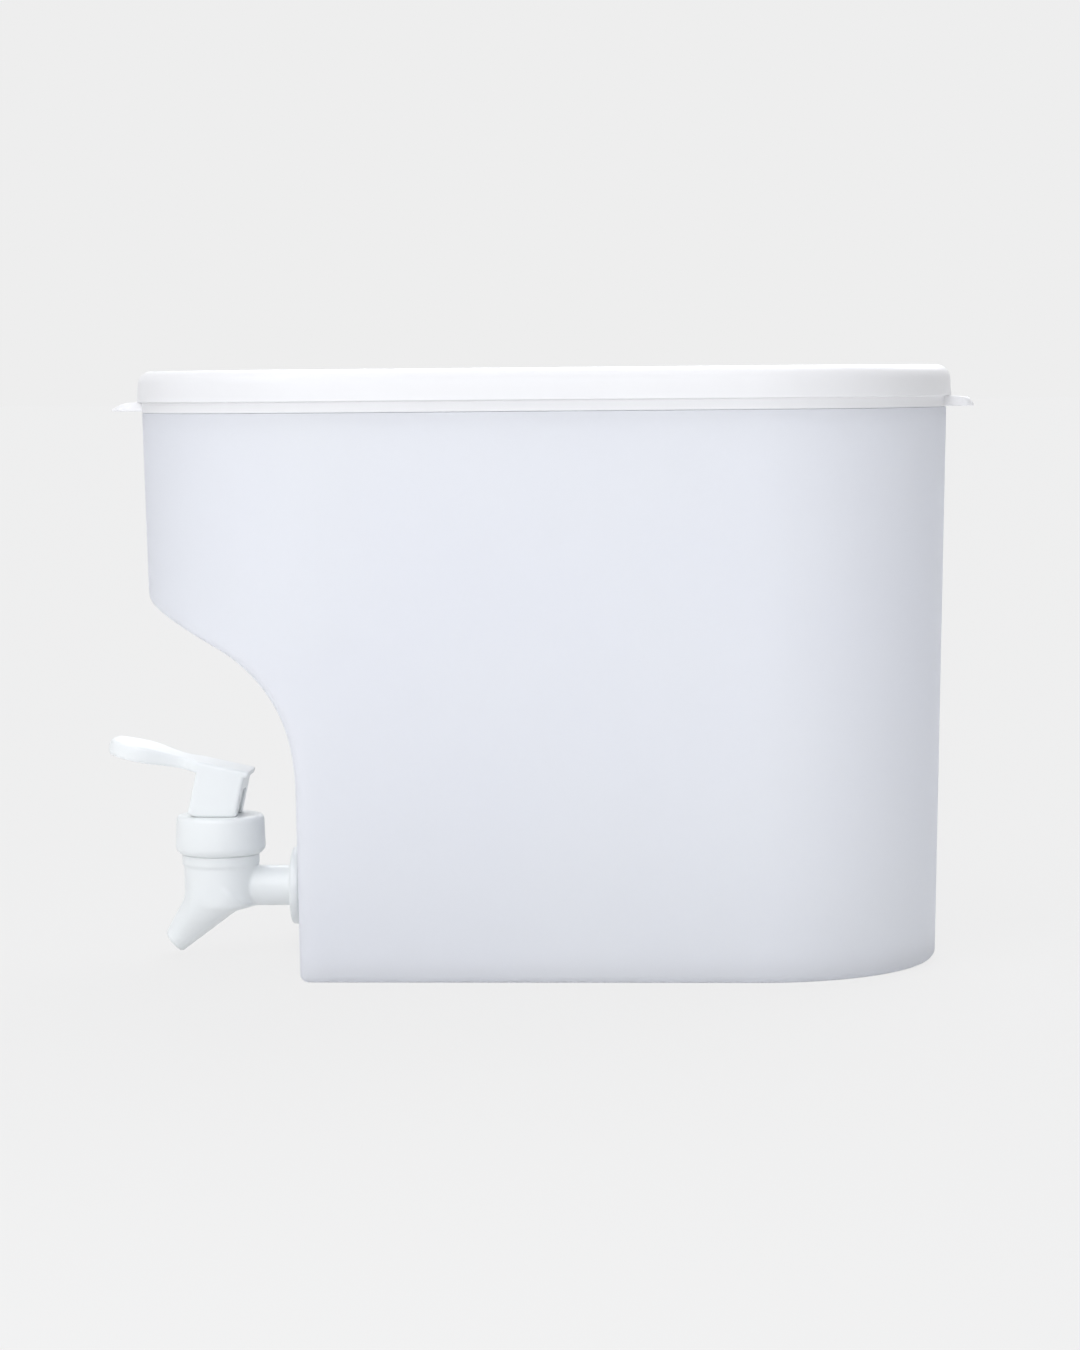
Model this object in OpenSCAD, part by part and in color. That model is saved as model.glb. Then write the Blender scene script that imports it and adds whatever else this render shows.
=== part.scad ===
// Slim countertop dispenser: a drafted tub with a recessed front, a snap lid with two pull tabs,
// and a lever tap whose stem lifts a silicone cup off its seat.
// X runs along the tub with the tap at -X, Y across it, Z up from the standing face.

/* [Tub] */
// Outside length of the tub at its shoulder
tub_length = 252; // [220:1:300]
// Outside width of the tub at its shoulder
tub_width = 118; // [100:1:140]
// Height of the shoulder, just under the lid's skirt
shoulder_height = 172.7; // [150:0.1:220]
// Draft of the side walls, in degrees
wall_draft = 1.15; // [0.6:0.05:1.6]
// Thickness of the side walls
wall = 1.8; // [1.2:0.1:2.6]
// Thickness of the floor
floor_thickness = 2.2; // [1.6:0.1:3]
// Radius of the outside edge round the standing face
foot_radius = 2.5; // [1.5:0.1:4]
// Width of the standing rim under the floor
foot_width = 7; // [4:0.5:12]
// Height of the standing rim
foot_height = 0.8; // [0.4:0.1:1.6]
// Radius of the inside corner between wall and floor
inner_fillet = 4; // [2:0.5:6]

/* [Front recess] */
// How far the lower front stands back from the tub's front tip, at the floor
recess_depth = 53.6; // [40:0.5:60]
// Height of the overhang's underside, produced to the tub's front tip
overhang_height = 115.5; // [108:0.5:130]
// Fall of the overhang's underside towards the lower front, in degrees
overhang_slope = 26; // [20:1:34]
// Radius of the overhang's front edge
overhang_nose = 8.5; // [6:0.5:14]
// Radius where the overhang turns down
recess_radius = 42; // [34:1:50]
// Radius that eases the turn into the lower front
ease_radius = 70; // [56:1:100]
// Turn of that easing stretch, in degrees
ease_turn = 12; // [8:1:18]
// Draft of the lower front, in degrees
front_draft = 0.5; // [0:0.1:1.5]

/* [Rim] */
// Height of the rim that the lid rests on
rim_above_shoulder = 11.6; // [9:0.1:16]
// How far the neck under the rim is set in from the shoulder
neck_inset = 2.2; // [1.8:0.1:3]
// Thickness of the neck
neck_wall = 1.6; // [1.2:0.1:2.2]
// How far the snap bead stands out from the neck
bead_proud = 0.6; // [0.3:0.1:0.8]
// Height of the snap bead
bead_height = 3; // [2:0.1:4]

/* [Lid] */
// Thickness of the lid
lid_wall = 1.5; // [1:0.1:2.2]
// How far the lid's dome stands out from the shoulder
dome_proud = 1.6; // [1:0.1:2.4]
// Inward lean of the dome's side over its height
dome_lean = 0.3; // [0:0.1:0.6]
// Radius of the lid's top edge
lid_edge = 4.4; // [3:0.1:6]
// Height of the snap skirt below the dome
skirt_height = 3.3; // [2.4:0.1:4.5]
// Thickness of the snap skirt
skirt_wall = 1.3; // [1:0.1:1.5]
// How far the skirt stands out from the shoulder
skirt_proud = 0.1; // [0:0.1:0.3]
// Gap between the skirt and the shoulder
skirt_gap = 0.3; // [0.2:0.1:0.6]
// Depth of the panel sunk in the lid's top
panel_depth = 1.2; // [0.6:0.1:2]
// Width of the border round that panel
panel_border = 10; // [8:0.5:20]
// Depth of the sealing rib inside the rim
plug_depth = 5; // [3:0.5:8]
// Thickness of the sealing rib
plug_wall = 1.2; // [0.8:0.1:1.6]
// Gap between the sealing rib and the neck
plug_gap = 0.3; // [0.2:0.1:0.6]

/* [Pull tabs] */
// Reach of the rear tab from the skirt
rear_reach = 8; // [6:0.1:14]
// Reach of the front tab from the skirt
front_reach = 8.8; // [6:0.1:14]
// Width of a pull tab
tab_width = 26; // [16:1:40]
// Thickness of a tab's top and edges
tab_wall = 1.2; // [0.8:0.1:1.6]
// Radius of a tab's corners
tab_corner = 4; // [2:0.5:6]
// Droop of a tab's top, in degrees
tab_droop = 5; // [0:1:10]
// Length of the slanted end on the rear tab
rear_slant = 1.7; // [1:0.1:4]
// Length of the slanted end on the front tab
front_slant = 4.2; // [1:0.1:5]
// How far the front tab's underside is above the skirt's bottom edge
front_lift = 0.4; // [0:0.1:0.8]

/* [Tap fitting] */
// Height of the tap's inlet above the standing face
tap_height = 22.2; // [18:0.1:34]
// How far the round seat for the tap stands out from the front
seat_proud = 2.5; // [1:0.1:3]
// Radius of that seat
seat_radius = 15.5; // [14:0.5:18]
// How far the seat stands out inside the tub
inner_seat_proud = 0.5; // [0.3:0.1:1.5]
// Radius of the tap's threaded shank
shank_radius = 7.6; // [6.5:0.1:9]
// Gap round the shank in the tub, the washers and the nut
shank_gap = 0.3; // [0.2:0.1:0.6]
// Thickness of the washer outside the tub
outer_washer_thickness = 2.9; // [2:0.1:4]
// Radius of the washer outside the tub
outer_washer_radius = 11.6; // [10:0.1:13]
// Thickness of the washer inside the tub
inner_washer_thickness = 2.5; // [1.5:0.1:3.5]
// Radius of the washer inside the tub
inner_washer_radius = 12.4; // [11:0.1:13]
// Thickness of the lock nut
nut_thickness = 7; // [5:0.5:9]
// Size of the lock nut across its flats
nut_flats = 23; // [21:0.5:26]
// Thickness of the round flange on the nut
nut_flange = 1.6; // [1:0.1:2]
// Length of shank beyond the nut
shank_spare = 3; // [1:0.5:8]

/* [Tap body] */
// Thickness of the tap's flange
flange_thickness = 3; // [2.5:0.1:4]
// Radius of the tap's flange
flange_radius = 12.3; // [11:0.1:14]
// Distance from the flange's face to the tap's upright axis
spigot_length = 23.1; // [20:0.1:30]
// Radius of the spigot
spigot_radius = 6.45; // [5.8:0.05:6.5]
// Radius of the waterway through the spigot
inlet_radius = 4.4; // [3.5:0.1:4.8]
// Radius of the valve chamber's outside, at its foot
chamber_radius = 11.6; // [11:0.1:12]
// Radius of the collar under the bonnet
collar_radius = 12.3; // [12.1:0.1:13]
// Height of the collar
collar_height = 3.6; // [2:0.1:4]
// Height of the chamber's top above the inlet's axis
chamber_rise = 10.5; // [9.5:0.1:14]
// Radius of the chamber's bore
bore_radius = 9.4; // [8.8:0.1:9.8]
// Radius of the threaded neck under the bonnet
thread_radius = 11.2; // [10.8:0.1:11.3]
// Height of the threaded neck
thread_height = 7.9; // [6:0.1:12]

/* [Spout] */
// Fall of the spout's axis, in degrees
spout_fall = 49; // [45:1:55]
// Half of the spout's taper, in degrees
spout_taper = 12.4; // [9:0.1:14]
// Radius of the spout at its outlet
spout_radius = 3.9; // [3.6:0.1:4.4]
// Height of the spout's outlet centre above the standing face
outlet_height = 3.8; // [3.6:0.1:8]
// Distance from the tap's axis forward to the outlet's centre
outlet_reach = 15.4; // [13:0.1:17]
// Radius of the spout's waterway
spout_bore = 2.7; // [2:0.1:2.9]
// Extra tilt of the outlet's cut, in degrees
outlet_tilt = 8; // [0:1:14]

/* [Bonnet] */
// Radius of the bonnet
bonnet_radius = 14.3; // [13.6:0.1:16]
// Thickness of the bonnet's top
bonnet_top = 2.8; // [2:0.1:4]
// Radius of the bonnet's upper edge
bonnet_upper_edge = 1.6; // [0.8:0.1:2]
// Radius of the bonnet's lower edge
bonnet_lower_edge = 3; // [1.5:0.1:4]
// Gap between the bonnet and the threaded neck
thread_gap = 0.15; // [0.1:0.05:0.3]

/* [Valve] */
// Radius of the stem
stem_radius = 2.4; // [2:0.1:2.6]
// Gap round the stem in the bonnet
stem_gap = 0.4; // [0.2:0.05:0.6]
// Radius of the stem's spring collar
spring_collar_radius = 5.2; // [5:0.1:5.4]
// Thickness of the spring collar
spring_collar_thickness = 1.7; // [1:0.1:2.5]
// Radius of the seat cup's foot
cup_foot_radius = 5.8; // [5.6:0.1:6.2]
// Height of the seat cup's foot
cup_foot_height = 4.6; // [4:0.1:6]
// Radius of the seat cup's sleeve
cup_sleeve_radius = 7.6; // [7.3:0.1:8]
// Thickness of the seat cup's sleeve
cup_wall = 0.8; // [0.6:0.1:1]
// Thickness of the seat cup's clamped rim
cup_rim = 1.6; // [1:0.1:2]
// Radius of the outlet hole in the valve seat
seat_hole = 3; // [2.6:0.1:3.4]
// Width of the raised lip round that hole
seat_lip = 1.3; // [0.8:0.1:1.8]
// Height of that lip
seat_rise = 1.2; // [0.6:0.1:2]
// Thickness of the chamber's floor
chamber_floor = 1.5; // [1.2:0.1:2.5]
// Radius of the return spring, to the middle of its wire
spring_radius = 4.2; // [3.6:0.1:4.4]
// Diameter of the spring's wire
spring_wire = 0.9; // [0.6:0.1:1.2]
// Radius of the barb that holds the seat cup on the stem
barb_radius = 3; // [2.6:0.1:3.4]
// Radius of the stem's neck above the barb
barb_neck = 2; // [1.6:0.1:2.4]
// Height of the barb and its neck
barb_height = 3.2; // [2.6:0.1:4]
// Chamfer under the barb
barb_chamfer = 0.8; // [0.4:0.1:1.2]
// Gap between the stem and the seat cup
cup_gap = 0.1; // [0.05:0.05:0.2]
// Height of the seat cup's cone above its floor
cup_cone = 4.2; // [3:0.1:6]
// Open turns of the spring
spring_turns = 5; // [3:1:7]

/* [Lever] */
// Height of the lever's pivot above the bonnet
pivot_rise = 6.3; // [5.6:0.1:7.5]
// Lift of the stem per radian of lever, which is the heel cam's base radius
cam_radius = 5.5; // [4:0.1:6]
// Full travel of the lever, in degrees
lever_travel = 25; // [15:1:28]
// Gap between the heel cam and the bonnet
cam_gap = 0.1; // [0.05:0.05:0.2]
// Upward tilt of the closed lever, in degrees
lever_tilt = 12.5; // [8:0.5:14]
// Radius of the trunnions on the stem
trunnion_radius = 1.7; // [1.4:0.1:2]
// Running gap round the trunnions
trunnion_gap = 0.08; // [0.05:0.01:0.1]
// Width of the lever's block
block_width = 17; // [15:0.5:20]
// Width of the slot for the stem's head
slot_width = 7; // [6:0.1:8]
// Reach of that slot ahead of the pivot
slot_front = 4.8; // [4:0.1:6]
// Radius of the stem's head
head_radius = 3; // [2.6:0.1:3.4]
// Gap beside the stem's head
head_side_gap = 0.4; // [0.2:0.1:0.6]
// Gap above the stem's head
head_gap = 0.6; // [0.3:0.1:1]
// Thickness of the cheek left outside a trunnion
cheek_skin = 2.7; // [1.6:0.1:4]
// Length of the block ahead of the pivot
block_front = 8; // [7.8:0.1:10]
// Length of the block behind the pivot
block_back = 7.3; // [6:0.1:9]
// Reach of the lever's tip ahead of the pivot
lever_reach = 38; // [30:0.5:46]
// Height of the lever's upper face above the pivot
lever_top = 10; // [9:0.1:12]
// Thickness of the lever at its neck
neck_thickness = 3.7; // [3:0.1:4.5]
// Thickness of the paddle
paddle_thickness = 5.2; // [4.4:0.1:6]
// Width of the paddle
paddle_width = 20; // [16:0.5:26]
// Width of the lever at its neck
neck_width = 13; // [11:0.5:15]
// Length over which the block narrows to the neck
neck_blend = 5; // [3:0.5:8]
// Distance ahead of the pivot at which the neck starts to thicken into the paddle
swell_near = 13; // [12:0.5:18]
// Distance ahead of the pivot at which the paddle has its full thickness
swell_far = 26; // [22:0.5:30]
// Thickness of the paddle's skin over its hollow underside
paddle_skin = 2; // [1.4:0.1:2.6]
// Reach of the lip behind the block
lip_reach = 1.3; // [0.5:0.1:2]
// Thickness of that lip
lip_thickness = 2; // [1.4:0.1:3]

/* [Hidden] */

$fn = 96;
far = 400;

// Tub
straight = tub_length - tub_width;
floor_height = foot_height + floor_thickness;
rim_height = shoulder_height + rim_above_shoulder;
neck_radius = tub_width / 2 - neck_inset;
rim_inner_radius = neck_radius - neck_wall;

// Front recess, in the tub's upright middle plane
front_x = -tub_length / 2 + recess_depth;
slope_normal = [-sin(overhang_slope), -cos(overhang_slope)];
slope_point = [-tub_length / 2, overhang_height];
front_up = [-sin(front_draft), cos(front_draft)];
front_out = [-cos(front_draft), -sin(front_draft)];
ease_axis = [cos(ease_turn), sin(ease_turn)];
ease_start = [front_x, 0] + ease_radius * front_out;
bend_offset = ease_start + (ease_radius - recess_radius) * ease_axis - slope_point;
ease_rise = (recess_radius - slope_normal * bend_offset) / (slope_normal * front_up);
ease_centre = ease_start + ease_rise * front_up;
bend_centre = ease_centre + (ease_radius - recess_radius) * ease_axis;
nose_x = -straight / 2 - wall_radius(overhang_height) + overhang_nose - 0.1;
nose_rise = (overhang_nose + slope_normal[0] * (nose_x - slope_point[0])) / cos(overhang_slope);
nose_centre = [nose_x, overhang_height + nose_rise];

// Lid
lid_top = rim_height + lid_wall;
skirt_bottom = shoulder_height + skirt_gap;
skirt_top = skirt_bottom + skirt_height;
skirt_radius = tub_width / 2 + skirt_proud;
dome_radius = tub_width / 2 + dome_proud;
dome_top_radius = dome_radius - dome_lean;
plug_radius = rim_inner_radius - plug_gap;
panel_underside = lid_top - panel_depth - lid_wall;

// Tap fitting, along X from the tub's front
front_at_tap = front_x - tap_height * tan(front_draft);
seat_face = front_at_tap - seat_proud;
inner_seat_face = front_at_tap + wall + inner_seat_proud;
hole_radius = shank_radius + shank_gap;
flange_back = seat_face - outer_washer_thickness;
flange_face = flange_back - flange_thickness;
tap_x = flange_face - spigot_length;
inner_washer_face = inner_seat_face + inner_washer_thickness;
nut_face = inner_washer_face + nut_thickness;
shank_end = nut_face + shank_spare;

// Tap body heights
chamber_bottom = tap_height - spigot_radius;
chamber_top = tap_height + chamber_rise;
neck_top = chamber_top + thread_height;
bonnet_underside = neck_top + cup_rim;
bonnet_face = bonnet_underside + bonnet_top;
chamber_bed = chamber_bottom + chamber_floor;
seat_top = chamber_bed + seat_rise;
elbow_height = chamber_bottom - 1.2;

// Valve
cup_floor = seat_top + cup_foot_height;
spring_bottom = cup_floor + spring_collar_thickness;
spring_top = bonnet_underside;

// Lever
pivot_height = bonnet_face + pivot_rise;
heel_drop = pivot_rise - cam_gap;
trunnion_reach = block_width / 2 - cheek_skin;
paddle_radius = paddle_width / 2;
paddle_centre = -lever_reach + paddle_radius;

// The whole row is centred over the origin between the lever's tip and the rear tab's tip
lever_tip = -tap_x + lever_reach * cos(lever_tilt) - (lever_top - paddle_thickness / 2) * sin(lever_tilt);
rear_tip = straight / 2 + skirt_radius + rear_reach;
tub_x = (lever_tip - rear_tip) / 2;

// Radius of the tub's outside at a height
function wall_radius(z) = tub_width / 2 - (shoulder_height - z) * tan(wall_draft);

// Points of an arc, ends included
function arc(centre, radius, from, to, steps) =
    [for (i = [0 : steps]) let (a = from + (to - from) * i / steps) centre + radius * [cos(a), sin(a)]];

// Heel cam: an involute, so that the stem rises by cam_radius for each radian of the lever
function heel_point(turn) =
    let (drop = heel_drop + cam_radius * turn * PI / 180)
    [-cam_radius * cos(turn) - drop * sin(turn), cam_radius * sin(turn) - drop * cos(turn)];

// Sweeps a profile of radius and height round the plan of the tub
module round_plan() {
    for (end = [0, 1]) mirror([end, 0, 0])
        translate([straight / 2, 0, 0]) rotate([0, 0, -90]) rotate_extrude(angle = 180) children();
    translate([-straight / 2, 0, 0]) rotate([90, 0, 90]) linear_extrude(straight) {
        children();
        mirror([1, 0]) children();
    }
}

// Extrudes a side view of X and height across the tub
module across(width) {
    translate([0, width / 2, 0]) rotate([90, 0, 0]) linear_extrude(width) children();
}

// The space in front of the recess, with its edge moved into the tub by grow
module recess_side(grow) {
    foot = grow == 0
        ? concat([[front_x + foot_radius, -1]], arc([front_x + foot_radius, foot_radius], foot_radius, 270, 180, 5))
        : [[front_x + grow, -1]];
    polygon(concat(
        [[-far, -1]],
        foot,
        arc(ease_centre, ease_radius + grow, front_draft, ease_turn, 5),
        arc(bend_centre, recess_radius + grow, ease_turn, 90 - overhang_slope, 16),
        arc(nose_centre, overhang_nose - grow, 270 - overhang_slope, 180, 12),
        [[-far, nose_centre[1]]]
    ));
}

module tub_outside() {
    outer = concat(
        [[0, foot_height],
         [wall_radius(0) - foot_radius - foot_width, foot_height],
         [wall_radius(0) - foot_radius - foot_width + foot_height, 0]],
        arc([wall_radius(foot_radius) - foot_radius, foot_radius], foot_radius, -90, 0, 5),
        [[tub_width / 2, shoulder_height],
         [neck_radius, shoulder_height],
         [neck_radius, rim_height - bead_height],
         [neck_radius + bead_proud, rim_height - bead_height + bead_proud],
         [neck_radius + bead_proud, rim_height - 2 * bead_proud],
         [neck_radius, rim_height],
         [0, rim_height]]
    );
    round_plan() polygon(outer);
}

module tub_inside() {
    jog_top = shoulder_height - neck_wall;
    jog_bottom = jog_top - (neck_inset + neck_wall - wall);
    round_plan() polygon(concat(
        [[0, floor_height]],
        arc([wall_radius(floor_height + inner_fillet) - wall - inner_fillet, floor_height + inner_fillet],
            inner_fillet, -90, 0, 5),
        [[wall_radius(jog_bottom) - wall, jog_bottom],
         [rim_inner_radius, jog_top],
         [rim_inner_radius, rim_height + 1],
         [0, rim_height + 1]]
    ));
}

module container() color([0.91, 0.93, 0.98]) translate([tub_x, 0, 0]) {
    foot_bar = foot_radius + foot_width;
    bar_width = 2 * (wall_radius(0) - foot_radius) - foot_width;
    difference() {
        union() {
            difference() {
                union() {
                    tub_outside();
                    translate([front_x, -bar_width / 2, 0]) cube([foot_bar, bar_width, floor_height]);
                }
                across(2 * tub_width) recess_side(0);
                difference() {
                    tub_inside();
                    across(2 * tub_width) recess_side(wall);
                }
            }
            along_inlet(seat_face) cylinder(r = seat_radius, h = inner_seat_face - seat_face);
        }
        along_inlet(seat_face - 1) cylinder(r = hole_radius, h = inner_seat_face - seat_face + 2);
    }
}

// One pull tab, pointing along +X from the end of the skirt
module pull_tab(reach, slant, lift) {
    root = straight / 2 + skirt_radius - skirt_wall - 3;
    tip = straight / 2 + skirt_radius + reach;
    difference() {
        intersection() {
            across(tab_width) tab_side(root, tip, reach - slant, lift, 0);
            linear_extrude(lid_top) tab_plan(root, tip, 0);
        }
        intersection() {
            across(tab_width) tab_side(root, tip, reach - slant, lift, tab_wall);
            linear_extrude(lid_top) tab_plan(root, tip, tab_wall);
        }
        linear_extrude(lid_top) translate([straight / 2, 0]) circle(r = skirt_radius - skirt_wall / 2);
    }
}

// Side view of a tab: a drooping top, a slanted end and a flat underside
module tab_side(root, tip, top_length, lift, inset) {
    bottom = skirt_bottom + lift - inset;
    fall = top_length * tan(tab_droop);
    skirt_end = straight / 2 + skirt_radius;
    polygon([
        [root, bottom],
        [tip - inset, bottom],
        [tip - inset, bottom + tab_wall / 2],
        [skirt_end + top_length - inset, skirt_top - fall - inset],
        [skirt_end, skirt_top - inset],
        [root, skirt_top - inset]
    ]);
}

// Plan of a tab, with round corners at its tip
module tab_plan(root, tip, inset) {
    half = tab_width / 2 - inset;
    translate([root, -half]) square([tip - tab_corner - root, 2 * half]);
    translate([root, tab_corner - tab_width / 2])
        square([tip - inset - root, tab_width - 2 * tab_corner]);
    for (side = [-1, 1])
        translate([tip - tab_corner, side * (tab_width / 2 - tab_corner)]) circle(r = tab_corner - inset);
}

module lid() color([0.98, 0.98, 0.99]) translate([tub_x, 0, 0]) {
    panel_radius = dome_top_radius - panel_border;
    edge_centre = [dome_top_radius - lid_edge, lid_top - lid_edge];
    inner_edge = min(lid_edge - lid_wall, dome_top_radius - lid_wall - neck_radius);
    inner_centre = [dome_top_radius - lid_wall - inner_edge, rim_height - inner_edge];
    round_plan() polygon(concat(
        [[0, panel_underside],
         [plug_radius - plug_wall, panel_underside],
         [plug_radius - plug_wall, rim_height - plug_depth],
         [plug_radius, rim_height - plug_depth],
         [plug_radius, rim_height]],
        arc(inner_centre, inner_edge, 90, 0, 4),
        [[dome_radius - lid_wall, skirt_top + lid_wall],
         [skirt_radius - skirt_wall, skirt_top + lid_wall - dome_proud + skirt_wall / 2],
         [skirt_radius - skirt_wall, skirt_bottom],
         [skirt_radius, skirt_bottom],
         [skirt_radius, skirt_top - 0.3],
         [dome_radius, skirt_top]],
        arc(edge_centre, lid_edge, 0, 90, 8),
        [[panel_radius + panel_depth, lid_top],
         [panel_radius, lid_top - panel_depth],
         [0, lid_top - panel_depth]]
    ));
    pull_tab(rear_reach, rear_slant, 0);
    mirror([1, 0, 0]) pull_tab(front_reach, front_slant, front_lift);
}

// Turns a piece built along Z so that it runs along +X from a point on the tap's inlet axis
module along_inlet(x) {
    translate([x, 0, tap_height]) rotate([0, 90, 0]) children();
}

// A round rod between two points of X and height
module rod_between(start, stop, radius) {
    run = stop - start;
    translate([start[0], 0, start[1]]) rotate([0, atan2(run[0], run[1]), 0])
        cylinder(r = radius, h = norm(run));
}

module chamber() {
    foot_edge = 2;
    rotate_extrude() polygon(concat(
        [[0, chamber_bottom]],
        arc([chamber_radius - foot_edge, chamber_bottom + foot_edge], foot_edge, -90, 0, 5),
        [[chamber_radius + 0.2, chamber_top - collar_height],
         [collar_radius, chamber_top - collar_height],
         [collar_radius, chamber_top],
         [thread_radius, chamber_top],
         [thread_radius, neck_top],
         [0, neck_top]]
    ));
}

module spout() {
    axis_up = [cos(spout_fall), sin(spout_fall)];
    outlet = [-outlet_reach, outlet_height];
    overrun = 3;
    rise = 28;
    start = outlet - overrun * axis_up;
    difference() {
        translate([start[0], 0, start[1]]) rotate([0, 90 - spout_fall, 0])
            cylinder(r1 = spout_radius - overrun * tan(spout_taper),
                     r2 = spout_radius + (rise - overrun) * tan(spout_taper), h = rise);
        translate([outlet[0], 0, outlet[1]]) rotate([0, 90 - spout_fall + outlet_tilt, 0])
            translate([-chamber_radius, -chamber_radius, -chamber_radius])
                cube([2 * chamber_radius, 2 * chamber_radius, chamber_radius]);
    }
}

module tap_body() color([0.94, 0.96, 0.96]) translate([tub_x, 0, 0]) {
    elbow = [-1, elbow_height];
    outlet = [-outlet_reach, outlet_height];
    difference() {
        union() {
            translate([tap_x, 0, 0]) {
                chamber();
                spout();
            }
            along_inlet(tap_x) cylinder(r = spigot_radius, h = spigot_length + 1);
            along_inlet(flange_face) rotate_extrude() polygon([
                [0, 0], [flange_radius - 0.8, 0], [flange_radius, 0.8],
                [flange_radius, flange_thickness], [0, flange_thickness]]);
            along_inlet(flange_back - 1) cylinder(r = shank_radius, h = shank_end - flange_back + 1);
        }
        translate([tap_x, 0, 0]) {
            difference() {
                translate([0, 0, chamber_bed]) cylinder(r = bore_radius, h = far);
                cylinder(r = seat_hole + seat_lip, h = seat_top);
            }
            translate([0, 0, elbow_height]) cylinder(r = seat_hole, h = far);
            rod_between(elbow, elbow + 1.4 * (outlet - elbow), spout_bore);
            translate([elbow[0], 0, elbow[1]]) sphere(r = spout_bore + 0.4);
        }
        along_inlet(tap_x) cylinder(r = inlet_radius, h = far / 2);
    }
}

module bonnet() color([0.95, 0.97, 0.97]) translate([tub_x + tap_x, 0, 0]) {
    inner_radius = thread_radius + thread_gap;
    top_radius = bonnet_radius - 0.3;
    lower_sweep = 60;
    rotate_extrude() polygon(concat(
        [[inner_radius, chamber_top]],
        arc([bonnet_radius - bonnet_lower_edge, chamber_top + bonnet_lower_edge * sin(lower_sweep)],
            bonnet_lower_edge, -lower_sweep, 0, 6),
        arc([top_radius - bonnet_upper_edge, bonnet_face - bonnet_upper_edge], bonnet_upper_edge, 0, 90, 6),
        [[stem_radius + stem_gap, bonnet_face],
         [stem_radius + stem_gap, bonnet_underside],
         [inner_radius, bonnet_underside]]
    ));
}

module seat_cup() color([0.86, 0.88, 0.88]) translate([tub_x + tap_x, 0, 0]) {
    sleeve_start = cup_floor + cup_cone;
    rotate_extrude() polygon([
        [0, seat_top],
        [cup_foot_radius - 0.8, seat_top],
        [cup_foot_radius, seat_top + 0.8],
        [cup_foot_radius, cup_floor - 0.9],
        [cup_sleeve_radius, sleeve_start],
        [cup_sleeve_radius, neck_top],
        [thread_radius - 0.3, neck_top],
        [thread_radius - 0.3, bonnet_underside],
        [cup_sleeve_radius - cup_wall, bonnet_underside],
        [cup_sleeve_radius - cup_wall, sleeve_start],
        [spring_collar_radius + cup_gap, cup_floor + 0.4],
        [spring_collar_radius + cup_gap, cup_floor],
        [barb_neck + cup_gap, cup_floor],
        [barb_neck + cup_gap, cup_floor - barb_height / 2],
        [barb_radius + cup_gap, cup_floor - barb_height / 2],
        [barb_radius + cup_gap, cup_floor - barb_height],
        [0, cup_floor - barb_height]
    ]);
}

module valve_stem() color([0.96, 0.97, 0.97]) translate([tub_x + tap_x, 0, 0]) {
    barb_top = cup_floor - barb_height / 2 - cup_gap;
    barb_bottom = cup_floor - barb_height + cup_gap;
    rotate_extrude() polygon([
        [0, barb_bottom],
        [barb_radius - barb_chamfer, barb_bottom],
        [barb_radius, barb_bottom + barb_chamfer],
        [barb_radius, barb_top],
        [barb_neck, barb_top],
        [barb_neck, cup_floor],
        [spring_collar_radius, cup_floor],
        [spring_collar_radius, spring_bottom],
        [stem_radius, spring_bottom],
        [stem_radius, pivot_height],
        [0, pivot_height]
    ]);
    translate([0, 0, pivot_height]) {
        across(slot_width - 2 * head_side_gap) circle(r = head_radius);
        across(2 * trunnion_reach) circle(r = trunnion_radius);
    }
}

// Height of the spring's wire at a number of turns from its lower end
function spring_rise(turn) =
    let (closed = spring_wire * 1.08, pitch = (spring_top - spring_bottom - spring_wire - 2 * closed) / spring_turns)
    turn < 1 ? turn * closed
    : turn < 1 + spring_turns ? closed + (turn - 1) * pitch
    : closed + spring_turns * pitch + (turn - 1 - spring_turns) * closed;

module return_spring() color([0.75, 0.76, 0.78]) translate([tub_x + tap_x, 0, 0]) {
    sides = 6;
    steps = 16;
    rings = (spring_turns + 2) * steps;
    wire = spring_wire / 2;
    points = [for (i = [0 : rings], j = [0 : sides - 1])
        let (turn = i / steps, a = 360 * turn, b = 360 * j / sides, reach = spring_radius + wire * cos(b))
        [reach * cos(a), reach * sin(a), spring_bottom + wire + spring_rise(turn) + wire * sin(b)]];
    skin = [for (i = [0 : rings - 1], j = [0 : sides - 1])
        let (k = (j + 1) % sides)
        [i * sides + j, (i + 1) * sides + j, (i + 1) * sides + k, i * sides + k]];
    ends = [[for (j = [0 : sides - 1]) j], [for (j = [0 : sides - 1]) rings * sides + sides - 1 - j]];
    polyhedron(points, concat(skin, ends));
}

// Easy curve from 0 to 1
function ease(u) = (1 - cos(180 * u)) / 2;

// Side view of the lever about its pivot, laid level, with its skin thinned by inset
module lever_side(inset) {
    swell = paddle_thickness - neck_thickness;
    swell_start = -swell_near;
    swell_end = -swell_far;
    steps = 8;
    upper = [for (i = [0 : steps]) let (u = i / steps)
        [swell_start + u * (swell_end - swell_start), lever_top + 0.6 * swell * ease(u) - inset]];
    lower = [for (i = [0 : steps]) let (u = 1 - i / steps)
        [swell_start + u * (swell_end - swell_start), lever_top - neck_thickness - 0.4 * swell * ease(u) - inset]];
    tip_radius = paddle_thickness / 2;
    tip_centre = [-lever_reach + tip_radius, lever_top + 0.6 * swell - tip_radius - inset];
    polygon(concat(
        [[block_back + lip_reach, lever_top - lip_thickness - inset],
         [block_back + lip_reach, lever_top - inset]],
        upper,
        arc(tip_centre, tip_radius, 90, 270, 10),
        lower,
        [[-block_front, lever_top - neck_thickness - inset],
         [-block_front, -far],
         [block_back, -far],
         [block_back, lever_top - lip_thickness - inset]]
    ));
}

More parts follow.
